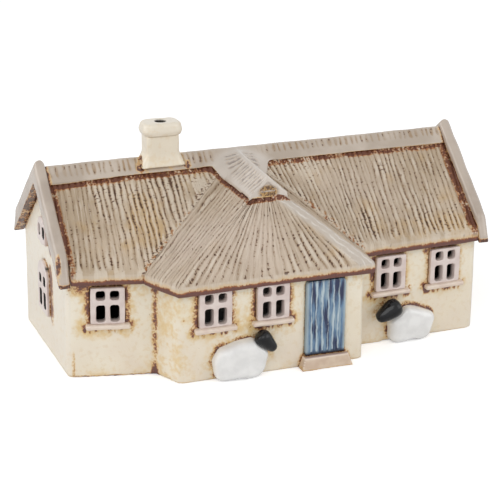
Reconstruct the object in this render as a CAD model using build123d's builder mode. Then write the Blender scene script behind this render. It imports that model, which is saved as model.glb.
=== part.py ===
from build123d import *
import os

# Glazed pottery croft house, a hollow slip-cast lantern that stands over a tea light.
# X runs along the ridge from left to right, -Y is the front, Z is up from the table.
# The origin is on the table, under the middle of the ridge.

# Walls, measured to their outer faces; depths are measured from the ridge line
left_wing_length = 36.6
bay_cant = 6.4
bay_length = 85.3
right_wing_length = 61.7
left_half_depth = 35.2
right_half_depth = 41.2
bay_foot_depth = 43.6
bay_front_depth = 57.1
wall_thickness = 4.5
corner_radius = 3.0
base_thickness = 4.0

# Thatch; its thickness is measured straight down
eave_height = 42.4
eave_overhang = 3.0
thatch_thickness = 5.6
thatch_ridge_height = 83.0
bay_thatch_drop = 4.0
bay_ridge_share = 0.5346
hip_top_depth = 37.6

# Ridge caps and the little gable at the end of the bay's cap
ridge_cap_rise = 2.2
ridge_cap_half_width = 6.4
ridge_cap_drop = 6.4
ridge_round = 2.0
cap_edge_round = 0.6
bay_ridge_step = 1.4
bay_ridge_fall = 0.2
bay_cap_root_half_width = 18.0
bay_cap_root_drop = 2.2
bay_cap_valley_depth = 13.0
bay_cap_valley_half_width = 9.8
bay_cap_valley_drop = 9.0
gablet_depth = 39.6
gablet_lean = 1.4
gablet_half_width = 8.8
gablet_height = 8.2
gablet_recess = 1.0
gablet_recess_share = 0.5

# Gable copings
coping_width = 5.2
coping_overhang = 4.0
coping_rise = 4.6
coping_round_share = 0.44
coping_reach = 1.2
coping_end_run = 3.4
coping_end_round = 4.0
coping_tip_height = 3.0

# Chimney
chimney_place_share = 0.281
stack_length = 14.8
stack_depth = 10.0
stack_foot_length = 20.6
stack_foot_depth = 10.8
stack_foot_height = 6.4
stack_foot_drop = 5.6
stack_foot_shares = [(0, 1), (0.4, 0.35), (1, 0)]
stack_rise = 9.2
chimney_cap_length = 18.2
chimney_cap_depth = 12.6
chimney_cap_height = 5.4
chimney_cap_shares = [(0, 0.93), (0.35, 1), (1, 0.91)]
chimney_cap_corner_round = 4.0
chimney_cap_top_round = 1.4
chimney_corner_round = 1.6
flue_diameter = 4.6

# Small-paned windows of the front walls, and their sills
window_foot_height = 25.0
window_relief = 1.8
window_depth = 4.6
frame_side = 2.4
frame_foot = 0.9
frame_head = 1.3
frame_round = 0.8
pane_width = 3.9
lower_pane_height = 7.7
upper_pane_height = 4.3
glazing_bar = 2.1
transom = 2.2
pane_round_share = 0.3
sill_length = 19.0
sill_height = 2.2
sill_reach = 3.4
sill_round = 0.9
left_window_share = 0.458
bay_left_window_share = 0.183
bay_right_window_share = 0.49
right_inner_window_share = 0.2915
right_outer_window_share = 0.729

# Arched windows of the gables
gable_window_width = 15.0
gable_pane_width = 3.8
gable_glazing_bar = 2.7
gable_lower_foot_height = 17.5
gable_lower_spring = 16.4
gable_lower_sill = 2.3
gable_lower_pane_height = 7.4
gable_transom = 3.0
gable_upper_pane_height = 4.4
gable_attic_width = 12.4
gable_attic_foot_height = 50.0
gable_attic_spring = 5.4
gable_attic_sill = 2.6
gable_attic_pane_height = 5.0
gable_window_relief = 1.4

# Door and doorstep
door_place_share = 0.778
door_width = 18.4
door_height = 34.8
door_relief = 1.6
door_top_round = 2.2
door_edge_round = 0.7
step_length = 24.0
step_reach = 5.4
step_height = 5.4
step_slope = 1.8
step_round = 1.0

# Sheep lying against the front walls
fleece_depth = 6.0
fleece_corner_share = 0.22
fleece_round_share = 0.52
leg_gap_width = 4.4
leg_gap_height = 1.3
sheep_head_shares = [(0.25, 0.36), (-0.18, 0.5)]
sheep_head_gap = 0.7
sheep_head_height = 16.4
left_sheep_share = 0.3107
left_fleece_length = 25.2
left_fleece_height = 17.7
left_fleece_shares = [
    (-0.42, 0), (-0.5, 0.54), (-0.365, 0.85), (-0.04, 0.955), (0.26, 1), (0.5, 0.63), (0.437, 0.27), (0.36, 0)
]
left_head_ahead = 11.3
left_head_length = 11.4
left_head_width = 7.4
left_head_tilt = 48.0
right_sheep_share = 0.4652
right_fleece_length = 22.8
right_fleece_height = 16.8
right_fleece_shares = [
    (-0.5, 0.2), (-0.42, 0), (0.342, 0), (0.43, 0.29), (0.5, 0.55), (0.447, 0.73), (0.158, 0.91), (-0.127, 1),
    (-0.487, 0.64)
]
right_head_ahead = 13.1
right_head_length = 12.8
right_head_width = 8.6
right_head_tilt = 26.0

# Arched doorway in the back wall, where the tea light goes in
doorway_width = 50.0
doorway_spring = 18.0
doorway_rise = 15.0

# How far cutting solids run past what they cut, and how far a roof slope is carried on past the eave
overrun = 20.0
slope_run_share = 1.7

os.makedirs("parts", exist_ok=True)


def export(name, piece):
    """Label one finished piece and write it to its own file."""
    piece.part.label = name
    export_step(piece.part, f"parts/{name}.step")


# Plan


def mitred(corners, distance):
    """Corners of a plan outline moved outwards by a distance, each one along its mitre."""
    moved = []
    for before, here, after in zip(corners[-1:] + corners[:-1], corners, corners[1:] + corners[:1]):
        arriving = (here - before).normalized()
        leaving = (after - here).normalized()
        first = Vector(arriving.Y, -arriving.X)
        second = Vector(leaving.Y, -leaving.X)
        moved.append(here + (first + second) * (distance / (1 + first.dot(second))))
    return moved


house_length = left_wing_length + bay_cant + bay_length + right_wing_length
half_length = house_length / 2
bay_left_foot_x = left_wing_length - half_length
bay_left_x = bay_left_foot_x + bay_cant
bay_right_x = bay_left_x + bay_length
plan = [
    Vector(-half_length, left_half_depth),
    Vector(-half_length, -left_half_depth),
    Vector(bay_left_foot_x, -bay_foot_depth),
    Vector(bay_left_x, -bay_front_depth),
    Vector(bay_right_x, -bay_front_depth),
    Vector(bay_right_x, -bay_foot_depth),
    Vector(half_length, -right_half_depth),
    Vector(half_length, right_half_depth),
]
inner_plan = mitred(plan, -wall_thickness)
eave_plan = mitred(plan, eave_overhang)
eave_back_left, eave_front_left, eave_bay_left_foot, eave_bay_left = eave_plan[:4]
eave_bay_right, eave_bay_right_foot, eave_front_right, eave_back_right = eave_plan[4:]
round_corners = [plan[place] for place in (0, 1, 3, 4, 6, 7)]
eave_top = eave_height + thatch_thickness
bay_ridge_x = bay_left_x + bay_length * bay_ridge_share
chimney_x = house_length * chimney_place_share - half_length
bay_thatch_ridge = thatch_ridge_height - bay_thatch_drop


def wall_face(place):
    """Outer face of a wall: x runs along it from its left end, y is up and z points outwards."""
    start = plan[place]
    along = plan[(place + 1) % len(plan)] - start
    return Plane(origin=start, x_dir=along, z_dir=Vector(along.Y, -along.X))


def wall_length(place):
    """Length of a wall's outer face."""
    return (plan[(place + 1) % len(plan)] - plan[place]).length


left_gable_face = wall_face(0)
front_left_face = wall_face(1)
bay_front_face = wall_face(3)
front_right_face = wall_face(5)
right_gable_face = wall_face(6)
back_face = wall_face(7)
front_left_length = wall_length(1)
front_right_length = wall_length(5)


# Roof surfaces


def depth_between(start, end, x):
    """Distance from the ridge line to a straight eave at x."""
    return abs(start.Y + (end.Y - start.Y) * (x - start.X) / (end.X - start.X))


def front_depth(x):
    """Distance from the ridge line to the front eave of the long roof at x."""
    if x < eave_bay_left_foot.X:
        return depth_between(eave_front_left, eave_bay_left_foot, x)
    if x > eave_bay_right_foot.X:
        return depth_between(eave_bay_right_foot, eave_front_right, x)
    return depth_between(eave_bay_left_foot, eave_bay_right_foot, x)


def back_depth(x):
    """Distance from the ridge line to the back eave at x."""
    return depth_between(eave_back_left, eave_back_right, x)


def cross_section(x):
    """Plane across the long roof at x, with y to its right and z up."""
    return Plane(origin=(x, 0, 0), x_dir=(0, 1, 0), z_dir=(1, 0, 0))


def thatch_slope(stations, side, depth_at):
    """One side of the long roof: side is -1 at the front and 1 at the back."""
    with BuildPart() as slope:
        for x in stations:
            eave = side * depth_at(x)
            with BuildSketch(cross_section(x)):
                Polygon(
                    (0, thatch_ridge_height),
                    (eave, eave_top),
                    (eave, eave_height),
                    (0, thatch_ridge_height - thatch_thickness),
                    align=None,
                )
        loft(ruled=True)
    return slope.part


def above_roof(drop):
    """All the space above the long roof's slopes, lowered by drop and carried on past the eaves."""
    ridge = thatch_ridge_height - drop
    foot = ridge - (thatch_ridge_height - eave_top) * slope_run_share
    top = thatch_ridge_height + overrun
    end = half_length + coping_overhang + overrun
    with BuildPart() as space:
        for x in (-end, eave_bay_left_foot.X, eave_bay_right_foot.X, end):
            front = -front_depth(x) * slope_run_share
            back = back_depth(x) * slope_run_share
            with BuildSketch(cross_section(x)):
                Polygon((front, top), (front, foot), (0, ridge), (back, foot), (back, top), align=None)
        loft(ruled=True)
    return space.part


def slope_plane(first, second, third):
    """Plane through three points, facing up."""
    plane = Plane(origin=first, x_dir=second - first, z_dir=(second - first).cross(third - first))
    return plane if plane.z_dir.Z > 0 else Plane(origin=first, x_dir=second - first, z_dir=-plane.z_dir)


def under_bay(drop, margin):
    """All the space under the bay's slopes, lowered by drop and widened past its eaves by margin."""
    eave = Vector(0, 0, eave_top - drop)
    ridge_root = Vector(bay_ridge_x, 0, bay_thatch_ridge - drop)
    ridge_end = Vector(bay_ridge_x, -hip_top_depth, bay_thatch_ridge - drop)
    left_foot = eave_bay_left_foot + eave
    left_corner = eave_bay_left + eave
    right_corner = eave_bay_right + eave
    outline = [
        Vector(eave_bay_left_foot.X, 0),
        eave_bay_left_foot,
        eave_bay_left,
        eave_bay_right,
        eave_bay_right_foot,
        Vector(eave_bay_right_foot.X, 0),
    ]
    with BuildPart() as space:
        with BuildSketch():
            Polygon(*[(corner.X, corner.Y) for corner in mitred(outline, margin)], align=None)
        extrude(amount=thatch_ridge_height)
        split(bisect_by=slope_plane(ridge_root, ridge_end, left_foot), keep=Keep.BOTTOM)
        split(bisect_by=slope_plane(ridge_end, left_foot, left_corner), keep=Keep.BOTTOM)
        split(bisect_by=slope_plane(ridge_end, left_corner, right_corner), keep=Keep.BOTTOM)
        split(bisect_by=slope_plane(ridge_root, ridge_end, right_corner), keep=Keep.BOTTOM)
    return space.part


above_thatch = above_roof(0)
above_soffit = above_roof(thatch_thickness)
bay_mass = under_bay(0, 0)
bay_room = under_bay(thatch_thickness, 0)
thatch_left_x = -half_length - coping_overhang + coping_width
thatch_right_x = -thatch_left_x


def cut_flue():
    """Take the round flue out of the piece that is being made."""
    with BuildSketch(Plane.XY.offset(thatch_ridge_height - overrun)) as flue:
        with Locations((chimney_x, 0)):
            Circle(flue_diameter / 2)
    length = overrun + ridge_cap_rise + stack_rise + chimney_cap_height + overrun
    extrude(flue.sketch, amount=length, mode=Mode.SUBTRACT)


# Thatch of the long roof: the bay's roof cuts into its front slope along two valleys

with BuildPart() as main_thatch_front_left:
    add(thatch_slope((thatch_left_x, eave_bay_left_foot.X, bay_ridge_x), -1, front_depth))
    add(bay_mass, mode=Mode.SUBTRACT)
    cut_flue()
export("main_thatch_front_left", main_thatch_front_left)

with BuildPart() as main_thatch_front_right:
    add(thatch_slope((bay_ridge_x, eave_bay_right_foot.X, thatch_right_x), -1, front_depth))
    add(bay_mass, mode=Mode.SUBTRACT)
export("main_thatch_front_right", main_thatch_front_right)

with BuildPart() as main_thatch_back:
    add(thatch_slope((thatch_left_x, thatch_right_x), 1, back_depth))
    cut_flue()
export("main_thatch_back", main_thatch_back)

# Thatch of the bay: two side slopes and a hip, which meet along the ridge and the two hip lines

with BuildPart() as bay_shell:
    add(bay_mass)
    add(under_bay(thatch_thickness, overrun), mode=Mode.SUBTRACT)
    add(above_soffit, mode=Mode.INTERSECT)

hip_top = Vector(bay_ridge_x, -hip_top_depth)
hip_left_end = hip_top + (eave_bay_left - hip_top) * slope_run_share
hip_right_end = hip_top + (eave_bay_right - hip_top) * slope_run_share
ridge_root = Vector(bay_ridge_x, overrun)


def bay_slope(*outline):
    """The part of the bay's thatch that lies over a plan outline."""
    with BuildPart() as slope:
        add(bay_shell.part)
        with BuildSketch():
            Polygon(*[(corner.X, corner.Y) for corner in outline], align=None)
        extrude(amount=thatch_ridge_height + overrun, mode=Mode.INTERSECT)
    return slope


far_left = Vector(hip_left_end.X - overrun, hip_left_end.Y)
far_right = Vector(hip_right_end.X + overrun, hip_right_end.Y)
bay_thatch_left = bay_slope(
    ridge_root, Vector(far_left.X, overrun), far_left, hip_left_end, hip_top
)
export("bay_thatch_left", bay_thatch_left)

bay_thatch_hip = bay_slope(hip_top, hip_left_end, hip_right_end)
export("bay_thatch_hip", bay_thatch_hip)

bay_thatch_right = bay_slope(
    ridge_root, hip_top, hip_right_end, far_right, Vector(far_right.X, overrun)
)
export("bay_thatch_right", bay_thatch_right)

# Ridge cap of the long roof, laid over the top of both slopes

ridge_top = thatch_ridge_height + ridge_cap_rise
ridge_cap_edge = ridge_top - ridge_cap_drop

with BuildPart() as main_ridge_cap:
    with BuildSketch(cross_section(thatch_left_x)) as cap_section:
        Polygon(
            (0, ridge_top),
            (-ridge_cap_half_width, ridge_cap_edge),
            (-ridge_cap_half_width, ridge_cap_edge - overrun),
            (ridge_cap_half_width, ridge_cap_edge - overrun),
            (ridge_cap_half_width, ridge_cap_edge),
            align=None,
        )
        fillet(cap_section.vertices().group_by(Axis.Y)[-1], ridge_round)
        fillet(cap_section.vertices().group_by(Axis.Y)[1], cap_edge_round)
    extrude(amount=thatch_right_x - thatch_left_x)
    add(above_thatch, mode=Mode.INTERSECT)
    add(bay_mass, mode=Mode.SUBTRACT)
    cut_flue()
export("main_ridge_cap", main_ridge_cap)

# Ridge cap of the bay: it spreads over the valleys at its root and ends in a leaning gablet

bay_ridge_top = ridge_top - bay_ridge_step
gablet_top = bay_ridge_top - bay_ridge_fall


def bay_cap_plane(depth, lean, top, drop):
    """Plane across the bay's cap, with its origin on the ridge and facing forwards."""
    return Plane(origin=(bay_ridge_x, -depth, top), x_dir=(1, 0, 0), z_dir=(0, -drop, lean))


def bay_cap_section(depth, lean, top, half_width, drop):
    """Section across the bay's cap; a lean brings its lower edge forward of its top."""
    fall = Vector(lean, drop).length
    with BuildSketch(bay_cap_plane(depth, lean, top, drop)) as section:
        Polygon(
            (0, 0),
            (-half_width, -fall),
            (-half_width, -fall - overrun),
            (half_width, -fall - overrun),
            (half_width, -fall),
            align=None,
        )
    return section.sketch


valley_top = bay_ridge_top - bay_ridge_fall * bay_cap_valley_depth / gablet_depth

cap_sections = [
    bay_cap_section(0, 0, bay_ridge_top, bay_cap_root_half_width, bay_cap_root_drop),
    bay_cap_section(bay_cap_valley_depth, 0, valley_top, bay_cap_valley_half_width, bay_cap_valley_drop),
    bay_cap_section(gablet_depth, gablet_lean, gablet_top, gablet_half_width, gablet_height),
]

gablet_fall = Vector(gablet_lean, gablet_height).length
recess_half_width = gablet_half_width * gablet_recess_share
recess_height = gablet_fall * gablet_recess_share
recess_centre = -gablet_fall * 2 / 3

with BuildPart() as bay_ridge_cap:
    loft(cap_sections, ruled=True)
    add(above_thatch, mode=Mode.INTERSECT)
    add(bay_mass, mode=Mode.SUBTRACT)
    add(main_ridge_cap.part, mode=Mode.SUBTRACT)
    with BuildSketch(bay_cap_plane(gablet_depth, gablet_lean, gablet_top, gablet_height)):
        Polygon(
            (0, recess_centre + recess_height * 2 / 3),
            (-recess_half_width, recess_centre - recess_height / 3),
            (recess_half_width, recess_centre - recess_height / 3),
            align=None,
        )
    extrude(amount=-gablet_recess, mode=Mode.SUBTRACT)
export("bay_ridge_cap", bay_ridge_cap)

# Raised copings on the two gables, each in a front and a back half that meet at the ridge


def coping(x_start, side, depth_at):
    """One half of a gable's coping: a round-backed roll on the gable wall, turned down just past the eave."""
    depth = depth_at(x_start + coping_width / 2)
    fall = (thatch_ridge_height - eave_top) / depth
    tip = depth + coping_reach
    shoulder = tip - coping_end_run
    crest = thatch_ridge_height + coping_rise
    with BuildPart() as roll:
        with BuildSketch(cross_section(x_start)) as outline:
            Polygon(
                (0, crest),
                (side * shoulder, crest - fall * shoulder),
                (side * tip, eave_height + coping_tip_height),
                (side * tip, eave_height),
                (0, eave_height),
                align=None,
            )
            turn = outline.vertices().sort_by_distance((side * shoulder, crest - fall * shoulder))[0]
            fillet(turn, coping_end_round)
        extrude(amount=coping_width)
        sides = roll.faces().filter_by(Axis.X).edges()
        back = sides - sides.filter_by(Axis.Y) - sides.filter_by(Axis.Z)
        fillet(back, coping_width * coping_round_share)
        add(above_soffit, mode=Mode.INTERSECT)
    return roll


export("left_coping_front", coping(-half_length - coping_overhang, -1, front_depth))
export("left_coping_back", coping(-half_length - coping_overhang, 1, back_depth))
export("right_coping_front", coping(thatch_right_x, -1, front_depth))
export("right_coping_back", coping(thatch_right_x, 1, back_depth))

# Chimney: a stack with a spreading foot that sits over the ridge cap, and a moulded cap

stack_top = ridge_top + stack_rise
stack_foot = ridge_top - stack_foot_drop


def stack_section(rise_share, spread_share):
    """Section of the stack at a share of its foot's height, with a share of the foot's spread."""
    with BuildSketch(Plane.XY.offset(stack_foot + stack_foot_height * rise_share)) as section:
        with Locations((chimney_x, 0)):
            RectangleRounded(
                stack_length + (stack_foot_length - stack_length) * spread_share,
                stack_depth + (stack_foot_depth - stack_depth) * spread_share,
                chimney_corner_round,
            )
    return section.sketch


with BuildPart() as chimney_stack:
    loft([stack_section(rise, spread) for rise, spread in stack_foot_shares], ruled=True)
    extrude(stack_section(1, 0), amount=stack_top - stack_foot - stack_foot_height)
    add(above_thatch, mode=Mode.INTERSECT)
    add(main_ridge_cap.part, mode=Mode.SUBTRACT)
    cut_flue()
export("chimney_stack", chimney_stack)



def cap_section(rise_share, size_share):
    """Section of the chimney's cap at a share of its height, as a share of its full size."""
    with BuildSketch(Plane.XY.offset(stack_top + chimney_cap_height * rise_share)) as section:
        with Locations((chimney_x, 0)):
            RectangleRounded(
                chimney_cap_length * size_share, chimney_cap_depth * size_share, chimney_cap_corner_round
            )
    return section.sketch


with BuildPart() as chimney_cap:
    loft([cap_section(rise, size) for rise, size in chimney_cap_shares], ruled=True)
    fillet(chimney_cap.faces().sort_by(Axis.Z)[-1].edges(), chimney_cap_top_round)
    cut_flue()
export("chimney_cap", chimney_cap)

# Walls, cut from one ring with rounded corners and parted at the mitres

with BuildPart() as wall_ring:
    with BuildSketch() as ring_plan:
        Polygon(*[(corner.X, corner.Y) for corner in plan], align=None)
        for corner in round_corners:
            fillet(ring_plan.vertices().sort_by_distance(corner)[0], corner_radius)
        Polygon(*[(corner.X, corner.Y) for corner in inner_plan], align=None, mode=Mode.SUBTRACT)
    extrude(amount=thatch_ridge_height)


def wall_blank(place):
    """One wall of the ring, full height, between the mitres at its two ends."""
    after = (place + 1) % len(plan)
    start, end = plan[place], plan[after]
    start_in, end_in = inner_plan[place], inner_plan[after]
    with BuildPart() as blank:
        add(wall_ring.part)
        with BuildSketch():
            outline = [start_in, end_in, end * 2 - end_in, start * 2 - start_in]
            Polygon(*[(corner.X, corner.Y) for corner in outline], align=None)
        extrude(amount=thatch_ridge_height, mode=Mode.INTERSECT)
    return blank.part


def fit_under_main_roof():
    """Trim the wall that is being made to the underside of the thatch."""
    add(above_soffit, mode=Mode.SUBTRACT)
    for slope in (bay_thatch_left, bay_thatch_right):
        add(slope.part, mode=Mode.SUBTRACT)


# Windows of the front walls, each a pierced plaque set through the wall with a sill below it

window_width = 2 * frame_side + 2 * pane_width + glazing_bar
window_height = frame_foot + lower_pane_height + transom + upper_pane_height + frame_head
pane_spacing = pane_width + glazing_bar
lower_pane_centre = window_foot_height + frame_foot + lower_pane_height / 2
upper_pane_centre = (
    window_foot_height + frame_foot + lower_pane_height + transom + upper_pane_height / 2
)
pane_rows = [(lower_pane_centre, lower_pane_height), (upper_pane_centre, upper_pane_height)]
pane_round = pane_width * pane_round_share


def window_outline(along):
    """Outline of a front window on its wall's face."""
    with Locations((along, window_foot_height + window_height / 2)):
        RectangleRounded(window_width, window_height, frame_round)


def cut_window(face, along):
    """Cut a front window's hole through the wall that is being made."""
    with BuildSketch(face) as hole:
        window_outline(along)
    extrude(hole.sketch, amount=overrun, both=True, mode=Mode.SUBTRACT)


def front_window(face, along):
    """Plaque with two rows of two panes, proud of the wall by its relief."""
    with BuildPart() as plaque:
        with BuildSketch(face.offset(window_relief)):
            window_outline(along)
            for centre, height in pane_rows:
                with Locations((along, centre)):
                    with GridLocations(pane_spacing, 0, 2, 1):
                        RectangleRounded(pane_width, height, pane_round, mode=Mode.SUBTRACT)
        extrude(amount=-window_depth)
    return plaque


def window_sill(face, along):
    """Rounded sill on the wall's face, directly under its window."""
    with BuildPart() as sill:
        with BuildSketch(face):
            with Locations((along, window_foot_height - sill_height / 2)):
                RectangleRounded(sill_length, sill_height, sill_round)
        extrude(amount=sill_reach)
        fillet(sill.faces().sort_by(Axis(face.origin, face.z_dir))[-1].edges(), sill_round)
    return sill


left_window_along = front_left_length * left_window_share
bay_left_window_along = bay_length * bay_left_window_share
bay_right_window_along = bay_length * bay_right_window_share
right_inner_window_along = front_right_length * right_inner_window_share
right_outer_window_along = front_right_length * right_outer_window_share
front_windows = {
    "left_window": (front_left_face, left_window_along),
    "bay_left_window": (bay_front_face, bay_left_window_along),
    "bay_right_window": (bay_front_face, bay_right_window_along),
    "right_inner_window": (front_right_face, right_inner_window_along),
    "right_outer_window": (front_right_face, right_outer_window_along),
}
for name, (face, along) in front_windows.items():
    export(name, front_window(face, along))
    export(name.replace("window", "sill"), window_sill(face, along))

# Arched windows of the two gables, one below and one in the attic, centred on the ridge


def arched_outline(centre, foot_height, width, spring):
    """Round-headed outline on a gable's face."""
    with Locations((centre, foot_height + spring / 2)):
        Rectangle(width, spring)
    with Locations((centre, foot_height + spring)):
        Circle(width / 2)


def gable_centre(face):
    """Place along a gable's face that lies under the ridge."""
    return abs(face.origin.Y)


def gable_outlines(centre):
    """Outlines of a gable's two windows."""
    arched_outline(centre, gable_lower_foot_height, gable_window_width, gable_lower_spring)
    arched_outline(centre, gable_attic_foot_height, gable_attic_width, gable_attic_spring)


def pane_pair(centre, foot, height):
    """Cut two panes side by side out of the plaque that is being drawn."""
    with Locations((centre, foot + height / 2)):
        with GridLocations(gable_pane_width + gable_glazing_bar, 0, 2, 1):
            RectangleRounded(
                gable_pane_width, height, gable_pane_width * pane_round_share, mode=Mode.SUBTRACT
            )


lower_pane_foot = gable_lower_foot_height + gable_lower_sill
upper_pane_foot = lower_pane_foot + gable_lower_pane_height + gable_transom
attic_pane_foot = gable_attic_foot_height + gable_attic_sill


def gable_lower_window(face):
    """Tall round-headed plaque with two rows of panes."""
    centre = gable_centre(face)
    with BuildPart() as plaque:
        with BuildSketch(face.offset(gable_window_relief)):
            arched_outline(centre, gable_lower_foot_height, gable_window_width, gable_lower_spring)
            pane_pair(centre, lower_pane_foot, gable_lower_pane_height)
            pane_pair(centre, upper_pane_foot, gable_upper_pane_height)
        extrude(amount=-window_depth)
    return plaque


def gable_attic_window(face):
    """Small round-headed plaque with one pair of panes."""
    centre = gable_centre(face)
    with BuildPart() as plaque:
        with BuildSketch(face.offset(gable_window_relief)):
            arched_outline(centre, gable_attic_foot_height, gable_attic_width, gable_attic_spring)
            pane_pair(centre, attic_pane_foot, gable_attic_pane_height)
        extrude(amount=-window_depth)
    return plaque


for side, face in (("left", left_gable_face), ("right", right_gable_face)):
    export(f"{side}_gable_lower_window", gable_lower_window(face))
    export(f"{side}_gable_attic_window", gable_attic_window(face))

# The walls themselves


def gable_wall(place, face):
    """End wall with holes for its two arched windows."""
    with BuildPart() as wall:
        add(wall_blank(place))
        fit_under_main_roof()
        with BuildSketch(face):
            gable_outlines(gable_centre(face))
        extrude(amount=overrun, both=True, mode=Mode.SUBTRACT)
    return wall


export("left_gable_wall", gable_wall(0, left_gable_face))
export("right_gable_wall", gable_wall(6, right_gable_face))

with BuildPart() as front_wall_left:
    add(wall_blank(1))
    fit_under_main_roof()
    cut_window(front_left_face, left_window_along)
export("front_wall_left", front_wall_left)

with BuildPart() as front_wall_right:
    add(wall_blank(5))
    fit_under_main_roof()
    cut_window(front_right_face, right_inner_window_along)
    cut_window(front_right_face, right_outer_window_along)
export("front_wall_right", front_wall_right)

with BuildPart() as bay_cheek_left:
    add(wall_blank(2))
    add(bay_room, mode=Mode.INTERSECT)
export("bay_cheek_left", bay_cheek_left)

with BuildPart() as bay_cheek_right:
    add(wall_blank(4))
    add(bay_room, mode=Mode.INTERSECT)
export("bay_cheek_right", bay_cheek_right)


door_along = bay_length * door_place_share
door_x = bay_left_x + door_along


def door_outline():
    """Door's outline on the bay's face, standing on the step."""
    with Locations((door_along, step_height + door_height / 2)):
        RectangleRounded(door_width, door_height, door_top_round)
    with Locations((door_along, step_height + door_top_round)):
        Rectangle(door_width, 2 * door_top_round)


with BuildPart() as bay_front_wall:
    add(wall_blank(3))
    add(bay_room, mode=Mode.INTERSECT)
    cut_window(bay_front_face, bay_left_window_along)
    cut_window(bay_front_face, bay_right_window_along)
    with BuildSketch(bay_front_face):
        door_outline()
    extrude(amount=overrun, both=True, mode=Mode.SUBTRACT)
export("bay_front_wall", bay_front_wall)

doorway_half = doorway_width / 2
doorway_arch_top = base_thickness + doorway_spring + doorway_rise
back_centre = abs(back_face.origin.X) / abs(back_face.x_dir.X)

with BuildPart() as back_wall:
    add(wall_blank(7))
    fit_under_main_roof()
    with BuildSketch(back_face):
        with BuildLine():
            Polyline(
                (back_centre - doorway_half, base_thickness + doorway_spring),
                (back_centre - doorway_half, base_thickness),
                (back_centre + doorway_half, base_thickness),
                (back_centre + doorway_half, base_thickness + doorway_spring),
            )
            ThreePointArc(
                (back_centre + doorway_half, base_thickness + doorway_spring),
                (back_centre, doorway_arch_top),
                (back_centre - doorway_half, base_thickness + doorway_spring),
            )
        make_face()
    extrude(amount=overrun, both=True, mode=Mode.SUBTRACT)
export("back_wall", back_wall)

with BuildPart() as base_slab:
    with BuildSketch():
        Polygon(*[(corner.X, corner.Y) for corner in inner_plan], align=None)
    extrude(amount=base_thickness)
export("base_slab", base_slab)

# Door, set through the bay's wall, and the worn step in front of it

with BuildPart() as front_door:
    with BuildSketch(bay_front_face.offset(door_relief)):
        door_outline()
    extrude(amount=-door_relief - wall_thickness)
    fillet(front_door.faces().sort_by(Axis.Y)[0].edges(), door_edge_round)
export("front_door", front_door)

with BuildPart() as doorstep:
    with BuildSketch(Plane.XY):
        with Locations((door_x, -bay_front_depth - step_reach / 2)):
            Rectangle(step_length, step_reach)
    with BuildSketch(Plane.XY.offset(step_height)):
        with Locations((door_x, -bay_front_depth - (step_reach - step_slope) / 2)):
            Rectangle(step_length - 2 * step_slope, step_reach - step_slope)
    loft(ruled=True)
    front_top = doorstep.edges().filter_by(Axis.X).group_by(Axis.Z)[-1].sort_by(Axis.Y)[0]
    fillet(front_top, step_round)
export("doorstep", doorstep)

# Sheep: a fleece pressed on to the wall, and a head let into its shoulder


def sheep_head(face, along, length, width, tilt):
    """Pear-shaped head just clear of the wall's face, its nose turned down by the tilt."""
    centre = face.from_local_coords(Vector(along, sheep_head_height, sheep_head_gap + width / 2))
    nose = face.x_dir.rotate(Axis((0, 0, 0), face.z_dir), tilt)
    with BuildPart() as head:
        with BuildSketch(Plane(origin=centre, x_dir=nose, z_dir=nose.cross(face.z_dir))):
            with BuildLine():
                spine = Line((-length / 2, 0), (length / 2, 0))
                Spline(
                    spine @ 1,
                    *[(length * x, width * y) for x, y in sheep_head_shares],
                    spine @ 0,
                    tangents=((0, 1), (0, -1)),
                )
            make_face()
        revolve(axis=Axis(centre, nose))
    return head


def fleece(face, along, length, height, shares, head):
    """Soft lump of a body, flat against the wall, with a gap between the legs and a seat for the head."""
    with BuildPart() as body:
        with BuildSketch(face) as outline:
            with Locations((along, 0)):
                Polygon(*[(length * x, height * y) for x, y in shares], align=None)
            fillet(outline.vertices(), height * fleece_corner_share)
        extrude(amount=fleece_depth)
        outer = body.faces().sort_by(Axis(face.origin, face.z_dir))[-1]
        fillet(outer.edges(), fleece_depth * fleece_round_share)
        with BuildSketch(face):
            with Locations((along, 0)):
                Ellipse(leg_gap_width / 2, leg_gap_height)
        extrude(amount=fleece_depth + overrun, mode=Mode.SUBTRACT)
        add(head.part, mode=Mode.SUBTRACT)
    return body


left_sheep_along = bay_length * left_sheep_share
right_sheep_along = front_right_length * right_sheep_share
left_sheep_head = sheep_head(
    bay_front_face, left_sheep_along + left_head_ahead, left_head_length, left_head_width, -left_head_tilt
)
right_sheep_head = sheep_head(
    front_right_face,
    right_sheep_along - right_head_ahead,
    right_head_length,
    right_head_width,
    180 + right_head_tilt,
)
export("left_sheep_head", left_sheep_head)
export("right_sheep_head", right_sheep_head)
left_sheep_fleece = fleece(
    bay_front_face,
    left_sheep_along,
    left_fleece_length,
    left_fleece_height,
    left_fleece_shares,
    left_sheep_head,
)
right_sheep_fleece = fleece(
    front_right_face,
    right_sheep_along,
    right_fleece_length,
    right_fleece_height,
    right_fleece_shares,
    right_sheep_head,
)
export("left_sheep_fleece", left_sheep_fleece)
export("right_sheep_fleece", right_sheep_fleece)
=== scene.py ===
import math

import bmesh
import bpy
import numpy as np
from mathutils import Matrix, Vector, noise
from mathutils.bvhtree import BVHTree


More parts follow.
